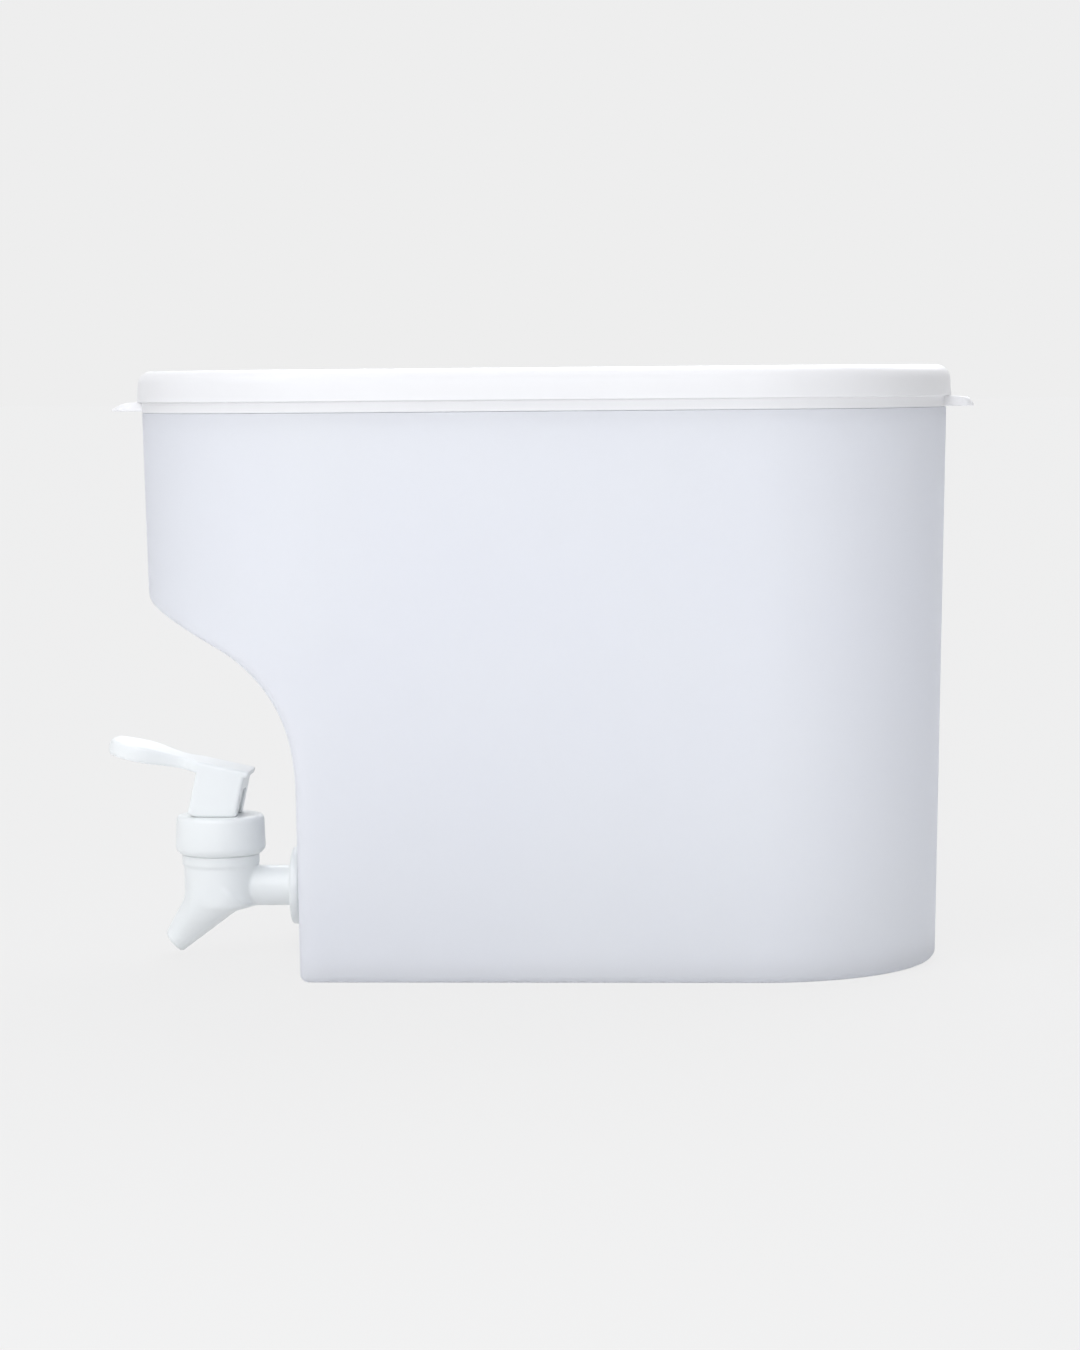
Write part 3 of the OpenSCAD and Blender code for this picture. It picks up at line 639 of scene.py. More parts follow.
@dataclass(frozen=True)
class Recess:
    """Recessed front of the tub: a lower wall that curves out into an overhang with a round nose."""

    wall: Wall
    front_x: float = -72.4
    draft: float = 0.5
    ease_radius: float = 70.0
    ease_turn: float = 12.0
    bend_radius: float = 42.0
    slope: float = 26.0
    height: float = 115.5
    tip_x: float = -126.0
    nose_radius: float = 8.5
    lowest: float = 5.0  # height of the lowest section line

    def angles(self) -> tuple[float, ...]:
        """Draft, turn of the easing arc, slope of the overhang, and draft of the tub's wall, in radians."""
        return tuple(radians(v) for v in (self.draft, self.ease_turn, self.slope, self.wall.draft))

    def centres(self) -> tuple[Array, Array, Array]:
        """Centres of the easing arc, the bend and the nose, as X and height.

        Returns:
            The three centres, in that order.
        """
        d, e, s, _ = self.angles()
        normal = np.array([-sin(s), -cos(s)])
        up, out = np.array([-sin(d), cos(d)]), np.array([-cos(d), -sin(d)])
        axis = np.array([cos(e), sin(e)])
        corner = np.array([self.tip_x, self.height])
        start = np.array([self.front_x, 0.0]) + self.ease_radius * out
        offset = start + (self.ease_radius - self.bend_radius) * axis - corner
        ease = start + (self.bend_radius - normal @ offset) / (normal @ up) * up
        bend = ease + (self.ease_radius - self.bend_radius) * axis
        nose_x = -self.wall.end_x - self.wall.radius(self.height) + self.nose_radius - 0.1
        rise = (self.nose_radius + normal[0] * (nose_x - corner[0])) / cos(s)
        return ease, bend, np.array([nose_x, self.height + rise])

    def inward(self, p: Array) -> tuple[Array, Array]:
        """Distance in from the recess, and its direction, at points about the tub's middle.

        Args:
            p: Points about the tub's middle.

        Returns:
            The distance, and the unit direction that it grows in, for each point.
        """
        x, z = p[:, 0], p[:, 2]
        ease, bend, nose = self.centres()
        d, e, s, tilt = self.angles()
        flat = np.ones_like(x)

        def straight(value: Array, across: float, up: float) -> tuple[Array, Array, Array]:
            """Distance from a straight stretch, and its direction."""
            return value, across * flat, up * flat

        def curved(c: Array, radius: float, sign: int) -> tuple[Array, Array, Array]:
            """Distance from an arc, and its direction.

            Args:
                c: The arc's centre.
                radius: Its radius.
                sign: 1 where the tub is outside the arc, and -1 where it is inside.

            Returns:
                The distance, and the direction's X and Z, for each point.
            """
            dx, dz = x - c[0], z - c[1]
            reach = np.maximum(np.hypot(dx, dz), TINY)
            return sign * (reach - radius), sign * dx / reach, sign * dz / reach

        cos_d, sin_d, cos_s, sin_s = cos(d), sin(d), cos(s), sin(s)
        end = x + self.wall.end_x + self.wall.radius(z)
        lines = [
            straight((x - self.front_x) * cos_d + z * sin_d, cos_d, sin_d),
            curved(ease, self.ease_radius, 1),
            curved(bend, self.bend_radius, 1),
            curved(nose, self.nose_radius, -1),
            straight(end * cos(tilt), cos(tilt), sin(tilt)),
            straight(sin_s * (x - self.tip_x) + cos_s * (z - self.height), sin_s, cos_s),
        ]
        below_ease = (x - ease[0]) * -sin_d + (z - ease[1]) * cos_d < 0
        below_bend = (x - ease[0]) * -sin(e) + (z - ease[1]) * cos(e) < 0
        to_slope = pi / 2 - s
        below_slope = (x - bend[0]) * -sin(to_slope) + (z - bend[1]) * cos(to_slope) < 0
        past_slope = ((x - nose[0]) * -cos_s + (z - nose[1]) * sin_s > 0) & (z < nose[1])
        tests = [below_ease, below_bend, below_slope, past_slope, z >= nose[1]]
        value, gx, gz = (np.select(tests, [line[i] for line in lines[:5]], lines[5][i]) for i in range(3))
        return value, np.stack([gx, np.zeros_like(gx), gz], axis=1)

    def heights(self, steps: Sequence[int]) -> list[float]:
        """Heights of section lines up the recess.

        Args:
            steps: Steps on the lower wall, the easing arc, the bend, the slope and the nose.

        Returns:
            The heights, from the lowest to the middle of the nose.
        """
        ease, bend, nose = self.centres()
        first, turn, slope, _ = self.angles()
        ease_low = ease[1] + self.ease_radius * sin(first)
        slope_low = bend[1] + self.bend_radius * cos(slope)
        slope_high = nose[1] - self.nose_radius * cos(slope)
        out = list(np.linspace(self.lowest, ease_low, steps[0], endpoint=False))
        turns = np.linspace(first, turn, steps[1], endpoint=False)
        out += [ease[1] + self.ease_radius * sin(t) for t in turns]
        turns = np.linspace(turn, pi / 2 - slope, steps[2], endpoint=False)
        out += [bend[1] + self.bend_radius * sin(t) for t in turns]
        out += list(np.linspace(slope_low, slope_high, steps[3], endpoint=False))
        turns = np.linspace(pi / 2 - slope, 0, steps[4] + 1)
        return out + [nose[1] - self.nose_radius * sin(t) for t in turns]


@dataclass
class Tub:
    """The drafted tub: its moulded shell, the seat for the tap and the rim for the lid."""

    centre_x: float
    wall: Wall = field(default_factory=Wall)
    thickness: float = 1.8
    edge: float = 3.0
    least_edge: float = 1.4
    foot: float = 2.5
    # Height and distance in of the rings under the floor: its sunk middle, then the standing rim's bevel.
    under_rings: tuple[tuple[float, float], ...] = ((0.8, 34.0), (0.8, 10.6), (0.25, 9.75), (0.03, 9.3))
    floor: float = 3.0
    floor_fillet: float = 4.0
    # Distance in of the rings on the floor.
    floor_rings: tuple[float, ...] = (9.0, 20.0, 34.0)
    # Section lines up the recess, outside and inside, and those above it.
    outer_steps: tuple[int, ...] = (7, 5, 14, 30, 16)
    inner_steps: tuple[int, ...] = (6, 4, 12, 16, 10)
    outer_start: float = 125.0
    inner_heights: tuple[float, ...] = (124.6, 128.0, 138.0, 150.0, 160.0)
    neck: float = 56.8
    neck_wall: float = 1.6
    bead: float = 0.6
    rim: float = 184.3
    seat_radius: float = 15.5
    seat_proud: float = 2.5
    seat_inner: float = 0.5
    hole: float = 7.9
    tap_height: float = 22.2
    # Length from the front's middle where the front's cells end, and X where the side's cells start.
    chord: float = 12.0
    side_start: float = -20.0
    chord_cells: int = 20
    turn_cells: int = 32
    side_cells: int = 10
    end_cells: int = 26
    recess: Recess = field(init=False)

    def __post_init__(self) -> None:
        """Sets up the recess from the wall."""
        self.recess = Recess(self.wall)

    def depth(self, p: Array, inset: float) -> Array:
        """Distance in from the shell's surface, with the recess's edges rounded.

        Args:
            p: Points about the tub's middle.
            inset: Wall thickness for the inner surface, or 0 for the outer.

        Returns:
            The distance for each point, negative outside.
        """
        radius = max(self.edge - inset, self.least_edge)
        a, ga = self.wall.inward(p)
        b, gb = self.recess.inward(p)
        a, b = a - inset, b - inset
        lean = np.clip((ga * gb).sum(1), -0.999, 0.9999)
        u, v = radius - a, radius - b
        reach = np.sqrt(np.maximum(u * u + v * v - 2 * u * v * lean, 0) / (1 - lean * lean))
        return np.where((u > v * lean) & (v > u * lean), radius - reach, np.minimum(a, b))

    def sharp_half(self, z: float, inset: float) -> Array:
        """Half of the plan at a height, from the middle of the front to the middle of the rear.

        Args:
            z: Height of the section.
            inset: Distance in from the outer surface.

        Returns:
            The half plan, one row of X and Y per point.
        """
        radius = self.wall.radius(z) - inset / cos(radians(self.wall.draft))
        end = self.wall.end_x
        low, high = SEARCH_FROM, 0.0
        for _ in range(HALVINGS):
            mid = (low + high) / 2
            value = self.recess.inward(np.array([[mid, 0.0, z]]))[0][0] - inset
            low, high = (mid, high) if value < 0 else (low, mid)
        front = max(high, -end - radius)
        half = sqrt(max(radius**2 - min(front + end, 0.0) ** 2, 0.0)) if front < -end else radius
        turn = atan2(half, -(front + end)) if front < -end else pi / 2
        corner = half if front > -end - radius + TOUCH else 0.0
        round_length = radius * (pi / 2 - turn) if corner else radius * pi / 2
        side_start = max(front, -end)

        def at(s: float) -> tuple[float, float]:
            """Point of the half plan at a length from the front's middle.

            Args:
                s: Length along the half plan.

            Returns:
                The point's X and Y.
            """
            if s <= corner:
                return front, s
            s -= corner
            if s <= round_length:
                t = (turn if corner else 0.0) + s / radius
                return -end - radius * cos(t), radius * sin(t)
            s -= round_length
            if s <= end - side_start:
                return side_start + s, radius
            t = (s - (end - side_start)) / radius
            return end + radius * sin(t), radius * cos(t)

        split = max(corner, self.chord)
        side_at = corner + round_length + (self.side_start - side_start)
        far_at = corner + round_length + (end - side_start)
        total = far_at + radius * pi / 2
        n1, n2, n3, n4 = self.chord_cells, self.turn_cells, self.side_cells, self.end_cells
        marks = [split * (1 - (1 - k / n1) ** 2) for k in range(n1)]
        marks += [split + (side_at - split) * (k / n2) ** 1.5 for k in range(n2)]
        marks += [side_at + (far_at - side_at) * k / n3 for k in range(n3)]
        marks += [far_at + (total - far_at) * k / n4 for k in range(n4 + 1)]
        return np.array([at(s) for s in marks])

    def closed(self, half: Array, z: float) -> Array:
        """Mirrors half a plan into a closed ring at a height."""
        ring = np.concatenate([half, half[-2:0:-1] * [1, -1]])
        return np.column_stack([ring, np.full(len(ring), z)])

    def section(self, z: float, level: float, inset: float) -> Array:
        """Closed ring of the shell at a height.

        Args:
            z: Height of the section.
            level: Distance in from the surface, for the fillets at the foot and the floor.
            inset: Wall thickness for the inner surface, or 0 for the outer.

        Returns:
            The ring.
        """
        ring = self.closed(self.sharp_half(z, inset + level), z)
        sx, sy = np.array([PROBE, 0, 0]), np.array([0, PROBE, 0])
        for _ in range(SETTLE_PASSES):
            off = self.depth(ring, inset) - level
            gx = (self.depth(ring + sx, inset) - self.depth(ring - sx, inset)) / (2 * PROBE)
            gy = (self.depth(ring + sy, inset) - self.depth(ring - sy, inset)) / (2 * PROBE)
            size = np.maximum(gx * gx + gy * gy, SECTION_SLOPE)
            ring[:, 0] -= off * gx / size
            ring[:, 1] -= off * gy / size
        return ring

    def plain(self, z: float, radius: float) -> Array:
        """Closed ring of a given end radius, above the recess."""
        inset = (self.wall.radius(z) - radius) * cos(radians(self.wall.draft))
        return self.closed(self.sharp_half(z, inset), z)

    def outside(self) -> list[Array]:
        """Rings from under the floor, round the foot and up to the shoulder.

        Returns:
            The rings, upwards.
        """
        rings = [self.section(z, level, 0) for z, level in self.under_rings]
        foot = [(self.foot * (1 - c), self.foot * (1 - s)) for c, s in arc(0, 0, 1, 0, 90, 6)]
        rings += [self.section(z, level, 0) for z, level in foot]
        upper = np.linspace(self.outer_start, self.wall.shoulder - 0.5, 7)
        return rings + [self.section(z, 0, 0) for z in (*self.recess.heights(self.outer_steps), *upper)]

    def neck_rings(self) -> list[Array]:
        """Rings over the shoulder, up the neck with its bead, over the rim and down to the jog inside.

        Returns:
            The rings, in that order.
        """
        w, sh, nk, rm, bd = self.wall, self.wall.shoulder, self.neck, self.rim, self.bead
        low, inner, jog_top = rm - 3.0, nk - self.neck_wall, sh - self.neck_wall
        jog_end = jog_top - (2.2 + self.neck_wall - self.thickness)
        steps = [
            (sh - 0.1, w.radius(sh) - 0.03), (sh, w.radius(sh) - 0.2), (sh, nk + 0.5),
            (sh + 0.15, nk + 0.15), (sh + 0.5, nk), (low - 0.2, nk), (low + 0.1, nk + 0.1),
            (low + bd - 0.1, nk + bd - 0.1), (low + bd + 0.2, nk + bd), (rm - 2 * bd - 0.1, nk + bd),
            (rm - 2 * bd + 0.2, nk + bd - 0.12), (rm - 0.35, nk - 0.02), (rm - 0.1, nk - 0.12),
            (rm, nk - 0.35), (rm, inner + 0.3), (rm - 0.09, inner + 0.09), (rm - 0.3, inner),
            (jog_top + 0.4, inner), (jog_top - 0.2, inner + 0.15),
            (jog_end + 0.3, w.radius(sh) - self.thickness - 0.2),
            (jog_end - 0.4, w.radius(jog_end - 0.4) - self.thickness / cos(radians(w.draft))),
        ]
        return [self.plain(z, radius) for z, radius in steps]

    def inside(self) -> list[Array]:
        """Rings down the inside and over the floor.

        Returns:
            The rings, downwards.
        """
        f = self.floor_fillet
        marks = [z for z in self.recess.heights(self.inner_steps) if z > self.floor + f + 1]
        rings = [self.section(z, 0, self.thickness) for z in reversed((*marks, *self.inner_heights))]
        turns = arc(0, 0, 1, 90, 0, 6)
        rings += [self.section(self.floor + f * (1 - c), f * (1 - s), self.thickness) for c, s in turns]
        return rings + [self.section(self.floor, level, self.thickness) for level in self.floor_rings]

    def shell(self) -> Piece:
        """Builds the tub with its seat and hole.

        Returns:
            The tub, in its place.
        """
        body = new_piece("tub_shell", *stack_rings(self.outside() + self.neck_rings() + self.inside()))
        front = self.recess.front_x - self.tap_height * tan(radians(self.recess.draft))
        outer, inner = front - self.seat_proud, front + self.thickness + self.seat_inner
        pad = soften(corners_of(CORE, outer, self.seat_radius, inner), 0.7, 5)
        combine(body, shift(lathe("seat", pad, 96, True), z=self.tap_height), "UNION", CREASE)
        bore = corners_of(CORE, outer - 5, self.hole, inner + 5)
        combine(body, shift(lathe("bore", bore, 72, True), z=self.tap_height), "DIFFERENCE", CREASE)
        return shift(body, x=self.centre_x)


# ---------------------------------------------------------------- lid


@dataclass
class Lid:
    """The snap lid: a domed tray with a sunk panel, a snap skirt, a sealing rib and two pull tabs."""

    centre_x: float
    end_x: float = 67.0
    top: float = 185.8
    panel_radius: float = 50.3
    panel_depth: float = 1.2
    panel_under: float = 183.1
    dome_top_radius: float = 60.3
    dome_radius: float = 60.6
    edge: float = 4.4
    skirt_top: float = 176.3
    skirt_bottom: float = 172.85
    skirt_radius: float = 59.1
    skirt_inner: float = 57.8
    rim: float = 184.3
    neck: float = 56.8
    rib_outer: float = 54.9
    rib_inner: float = 53.7
    rib_bottom: float = 179.3
    middle: float = 20.0
    rear_reach: float = 8.0
    front_reach: float = 8.8
    tab_half: float = 13.0
    tab_corner: float = 4.0
    tab_wall: float = 1.2
    tab_droop: float = 5.0
    rear_slant: float = 1.7
    front_slant: float = 4.2
    rear_lift: float = 0.15
    front_lift: float = 0.55
    end_cells: int = 36
    side_cells: int = 12

    def ring(self, radius: float, z: float) -> Array:
        """Closed ring of a given end radius at a height.

        Args:
            radius: Radius of the round ends.
            z: Height of the ring.

        Returns:
            The ring.
        """
        turns = np.linspace(0, pi, 2 * self.end_cells + 1)
        rear = np.column_stack([self.end_x + radius * np.sin(turns), radius * np.cos(turns)])
        side = np.linspace(self.end_x, -self.end_x, self.side_cells + 1)[1:-1]
        half = np.concatenate([rear, np.column_stack([side, np.full(len(side), -radius)])])
        ring = np.concatenate([half, -half])
        return np.column_stack([ring, np.full(len(ring), z)])

    def profile(self) -> Pairs:
        """Radius and height from the middle of the top, round the edge, to the middle of the underside.

        Returns:
            The pairs of radius and height.
        """
        t, e, middle, outer = self.top, self.edge, self.middle, self.dome_top_radius
        inner = outer - 1.5 - 2.0
        path = [(middle, t - self.panel_depth), (self.panel_radius, t - self.panel_depth)]
        path += [(self.panel_radius + self.panel_depth, t), (outer - e, t)]
        path = soften_path(path, 1.0, 5)[:-1] + arc(outer - e, t - e, e, 90, 3, 12)
        lower = [
            (outer, t - e - 0.4), (self.dome_radius, self.skirt_top),
            (self.skirt_radius, self.skirt_top - 0.3), (self.skirt_radius, self.skirt_bottom),
            (self.skirt_inner, self.skirt_bottom),
            (self.skirt_inner, self.skirt_top + 0.5), (self.skirt_radius, self.skirt_top + 1.6),
            (inner + 2.0, self.rim - 2.2),
        ]
        path += soften_path(lower, 0.25, 4) + arc(inner, self.rim - 2.0, 2.0, 0, 90, 5)[1:]
        under = [
            (self.neck - 0.6, self.rim), (self.rib_outer, self.rim), (self.rib_outer, self.rib_bottom),
            (self.rib_inner, self.rib_bottom), (self.rib_inner, self.panel_under), (middle, self.panel_under),
        ]
        return path + soften_path(under, 0.4, 3)

    def tab_ring(self, tip: float, inset_x: float, inset_y: float, height: Callable[[Array], Array]) -> Array:
        """Closed plan ring of a tab, pointing along +X.

        Args:
            tip: X of the tab's tip.
            inset_x: Distance in from the tab's tip.
            inset_y: Distance in from the tab's sides.
            height: Height of a point from its X.

        Returns:
            The ring.
        """
        half, tip = self.tab_half - inset_y, tip - inset_x
        corner = max(self.tab_corner - (inset_x + inset_y) / 2, 0.6)
        root = (self.skirt_radius + self.skirt_inner) / 2
        turn = degrees(asin(half / root))
        plan = arc(self.end_x, 0, root, turn, -turn, 14)
        start = plan[-1][0]
        plan += [(start + (tip - corner - start) * k / 5, -half) for k in range(1, 5)]
        plan += arc(tip - corner, corner - half, corner, -90, 0, 7)
        plan += [(tip, (half - corner) * k / 4) for k in range(-3, 4)]
        plan += arc(tip - corner, half - corner, corner, 0, 90, 7)
        plan += [(start + (tip - corner - start) * k / 5, half) for k in range(4, 0, -1)]
        points = np.array(plan)
        return np.column_stack([points, height(points[:, 0])])

    def tab(self, reach: float, slant: float, lift: float) -> Piece:
        """Builds one pull tab, pointing along +X.

        Args:
            reach: Its reach from the skirt.
            slant: Length of its slanted end.
            lift: Height of its underside above the skirt's bottom edge.

        Returns:
            The tab.
        """
        edge, bottom = self.end_x + self.skirt_radius, self.skirt_bottom + lift
        tip = edge + reach
        droop = tan(radians(self.tab_droop))

        def upper(x: Array) -> Array:
            """Height of the tab's top."""
            return self.skirt_top - droop * np.clip(x - edge, 0, reach - slant)

        def part(share: float) -> Callable[[Array], Array]:
            """Height at a share of the way from the foot of the slanted end to the top."""
            return lambda x: bottom + 0.6 + (upper(x) - bottom - 0.6) * share

        def level(z: float) -> Callable[[Array], Array]:
            """A constant height."""
            return lambda x: np.full_like(x, z)

        def ceiling(x: Array) -> Array:
            """Height of the hollow under the tab."""
            slope = bottom + 0.6 + (tip - x) / slant * (self.skirt_top - bottom - 1.0)
            return np.maximum(np.minimum(upper(x), slope) - self.tab_wall, bottom + 0.3)

        wall, run = self.tab_wall, slant / 1.6
        # Distance in from the tip and the sides, and the height, of each ring from the top to the hollow.
        steps = [
            (slant + 1.6, 2.4, upper), (slant + 0.6, 1.0, upper), (1.8 * run, 0.7, part(0.985)),
            (1.45 * run, 0.45, part(0.9)), (1.0 * run, 0.28, part(0.66)), (0.5 * run, 0.12, part(0.34)),
            (0.12 * run, 0.03, part(0.08)), (0.0, 0.0, level(bottom + 0.4)),
            (0.02, 0.02, level(bottom + 0.16)), (0.18, 0.18, level(bottom)),
            (wall - 0.16, wall - 0.16, level(bottom)),
            (wall, wall, level(bottom + 0.16)), (wall + 0.3, wall + 0.05, ceiling),
            (wall + slant, wall + 1.2, ceiling),
        ]
        return new_piece("tab", *stack_rings([self.tab_ring(tip, *step) for step in steps]))

    def build(self) -> Piece:
        """Builds the lid with its tabs.

        Returns:
            The lid, in its place.
        """
        lid = new_piece("snap_lid", *stack_rings([self.ring(r, z) for r, z in self.profile()]))
        combine(lid, self.tab(self.rear_reach, self.rear_slant, self.rear_lift), "UNION", LID_CREASE)
        front = self.tab(self.front_reach, self.front_slant, self.front_lift)
        front.data.transform(Matrix.Scale(-1, 4, (1, 0, 0)))
        tidy_mesh(front, LID_CREASE)
        combine(lid, front, "UNION", LID_CREASE)
        return shift(lid, x=self.centre_x)


# ---------------------------------------------------------------- tap


@dataclass
class TapBody:
    """The tap's moulded body: spigot, valve chamber and slanted spout in one piece, with a threaded shank."""

    x: float
    inlet: float = 22.2
    length: float = 23.1
    spigot: float = 6.45
    waterway: float = 4.4
    chamber: float = 11.6
    bottom: float = 15.75
    collar: float = 12.3
    collar_low: float = 29.1
    collar_top: float = 32.7
    thread: float = 11.2
    top: float = 40.6
    bore: float = 9.4
    bed: float = 17.25
    lip: float = 4.3
    seat: float = 18.45
    seat_hole: float = 3.0
    fall: float = 49.0
    taper: float = 12.4
    outlet: tuple[float, float] = (-15.4, 3.8)
    outlet_radius: float = 3.9
    outlet_tilt: float = 8.0
    outlet_bore: float = 2.7
    flange: float = 12.3
    flange_back: float = 26.1
    shank: float = 7.6
    shank_end: float = 46.0
    shank_cells: int = 64
    pitch: float = 2.5
    thread_depth: float = 0.75
    spread: float = 0.6
    spread_length: float = 20.0
    spout_fillet: float = 1.0
    belly_fillet: float = 3.0
    spigot_fillet: float = 0.7
    flange_fillet: float = 1.2
    low: tuple[float, ...] = (-20.5, -13.1, -0.2)
    high: tuple[float, ...] = (27.0, 13.1, 41.4)
    cell: float = 0.62

    def waterways(self, x: Array, y: Array, z: Array) -> Array:
        """Field of the hollow inside, negative where it is open.

        Args:
            x: X of each point, from the chamber's axis.
            y: Y of each point.
            z: Height of each point.

        Returns:
            The field's value for each point.
        """
        reach, across = np.hypot(x, y), np.hypot(y, z - self.inlet)
        bore = np.maximum(reach - self.bore, self.bed - z)
        bore = np.maximum(bore, -np.maximum(reach - self.lip, z - self.seat))
        elbow = np.array([-1.0, self.bottom - 1.2])
        drop = np.maximum(reach - self.seat_hole, elbow[1] - z)
        inlet = np.maximum(across - self.waterway, -x)
        run = np.array(self.outlet) - elbow
        run = run / np.linalg.norm(run)
        along = (x - elbow[0]) * run[0] + (z - elbow[1]) * run[1]
        side = (x - elbow[0]) * run[1] - (z - elbow[1]) * run[0]
        spout = np.maximum(np.hypot(side, y) - self.outlet_bore, -along)
        ball = np.sqrt((x - elbow[0]) ** 2 + y**2 + (z - elbow[1]) ** 2) - self.outlet_bore - 0.4
        return np.minimum.reduce([bore, drop, inlet, spout, ball])

    def field(self, p: Array) -> Array:
        """Signed distance of the body, without its shank's thread.

        Args:
            p: Points, with their X from the chamber's axis.

        Returns:
            The distance for each point.
        """
        x, y, z = p[:, 0], p[:, 1], p[:, 2]
        reach, across = np.hypot(x, y), np.hypot(y, z - self.inlet)
        b, c = self.bottom, self.chamber
        low = self.collar_low
        outline = soften([(PAST_AXIS, b), (c, b), (c + 0.2, low + 2), (PAST_AXIS, low + 2)], 2.0, 5)
        chamber = polygon_distance(reach, z, outline)
        ring = soften(corners_of(PAST_AXIS, low, self.collar, self.collar_top), 0.5)
        chamber = blend_union(chamber, polygon_distance(reach, z, ring), 0.5)
        neck = polygon_distance(reach, z, soften(corners_of(PAST_AXIS, low, self.thread, self.top), 0.5))
        spigot = np.maximum(np.maximum(across - self.spigot, -x), x - self.length - 1)
        plate = corners_of(PAST_AXIS, self.length, self.flange, self.flange_back)
        flange = polygon_distance(across, x, soften(plate, 1.0, 5))
        fall, cut, taper = (radians(v) for v in (self.fall, self.fall - self.outlet_tilt, self.taper))
        qx, qz = x - self.outlet[0], z - self.outlet[1]
        along = qx * cos(fall) + qz * sin(fall)
        side = qx * sin(fall) - qz * cos(fall)
        oval = 1 + self.spread * ease(along / self.spread_length)
        cone = (np.hypot(side, y / oval) - self.outlet_radius - along * tan(taper)) * cos(taper)
        cone = blend_common(cone, np.abs(y) - self.chamber + 0.4, 3.0)
        spout = blend_common(cone, -(qx * cos(cut) + qz * sin(cut)), 0.6)
        spout = np.maximum(spout, along - 25.0)
        belly = self.spout_fillet + (self.belly_fillet - self.spout_fillet) * ease((side + 1) / 5)
        solid = blend_union(chamber, spout, belly)
        solid = blend_union(solid, spigot, self.spigot_fillet)
        solid = np.minimum(blend_union(solid, flange, self.flange_fillet), neck)
        return blend_common(solid, -self.waterways(x, y, z), 0.25)

    def moulding(self) -> Piece:
        """Builds the body."""
        made = skin("tap_moulding", self.field, self.low, self.high, self.cell)
        return shift(made, x=self.x)

    def threaded_shank(self) -> Piece:
        """Builds the shank with its helical thread.

        Returns:
            The shank, in its place.
        """
        turns = np.linspace(0, 2 * pi, self.shank_cells, endpoint=False)
        start, end = self.flange_back - 0.4, self.shank_end
        steps = []
        for x in np.arange(start, end - 0.35, self.pitch / 12):
            phase = (x / self.pitch - turns / (2 * pi)) % 1.0
            ridge = np.clip((np.abs(phase - 0.5) - 0.12) / 0.22, 0, 1)
            fade = min(1.0, max(0.0, (x - self.flange_back - 0.8) / 1.2), max(0.0, (end - 0.9 - x) / 1.0))
            steps.append((self.shank - 0.05 - self.thread_depth * (ridge * fade + (1 - fade) * 0.35), x))
        steps += [(self.shank - 0.75, end - 0.3), (self.shank - 1.1, end), (self.waterway + 0.3, end)]
        steps += [(self.waterway, end - 0.3), (self.waterway, start)]
        made = lathe("tap_shank", steps, self.shank_cells, True, TAP_CREASE)
        return shift(made, x=self.x, z=self.inlet)


@dataclass
class Bonnet:
    """The cap that is screwed down on the valve chamber."""

    x: float
    bottom: float = 32.7
    face: float = 45.0
    under: float = 42.2
    radius: float = 14.3
    top_radius: float = 14.0
    upper: float = 1.6
    lower: float = 3.0
    inner: float = 11.35
    bore: float = 2.8

    def build(self) -> Piece:
        """Builds the bonnet.

        Returns:
            The bonnet, in its place.
        """
        low = self.lower
        path = arc(self.radius - low, self.bottom + low * sin(radians(60)), low, -60, 0, 9)
        path += arc(self.top_radius - self.upper, self.face - self.upper, self.upper, 2, 90, 9)
        path += [(self.bore + 0.4, self.face), (self.bore + 0.12, self.face - 0.12)]
        path += [(self.bore, self.face - 0.4)]
        path += [(self.bore, self.under), (self.inner, self.under), (self.inner, self.bottom + 0.3)]
        path += [(self.inner + 0.3, self.bottom)]
        return shift(lathe("tap_bonnet", path, 112), x=self.x)


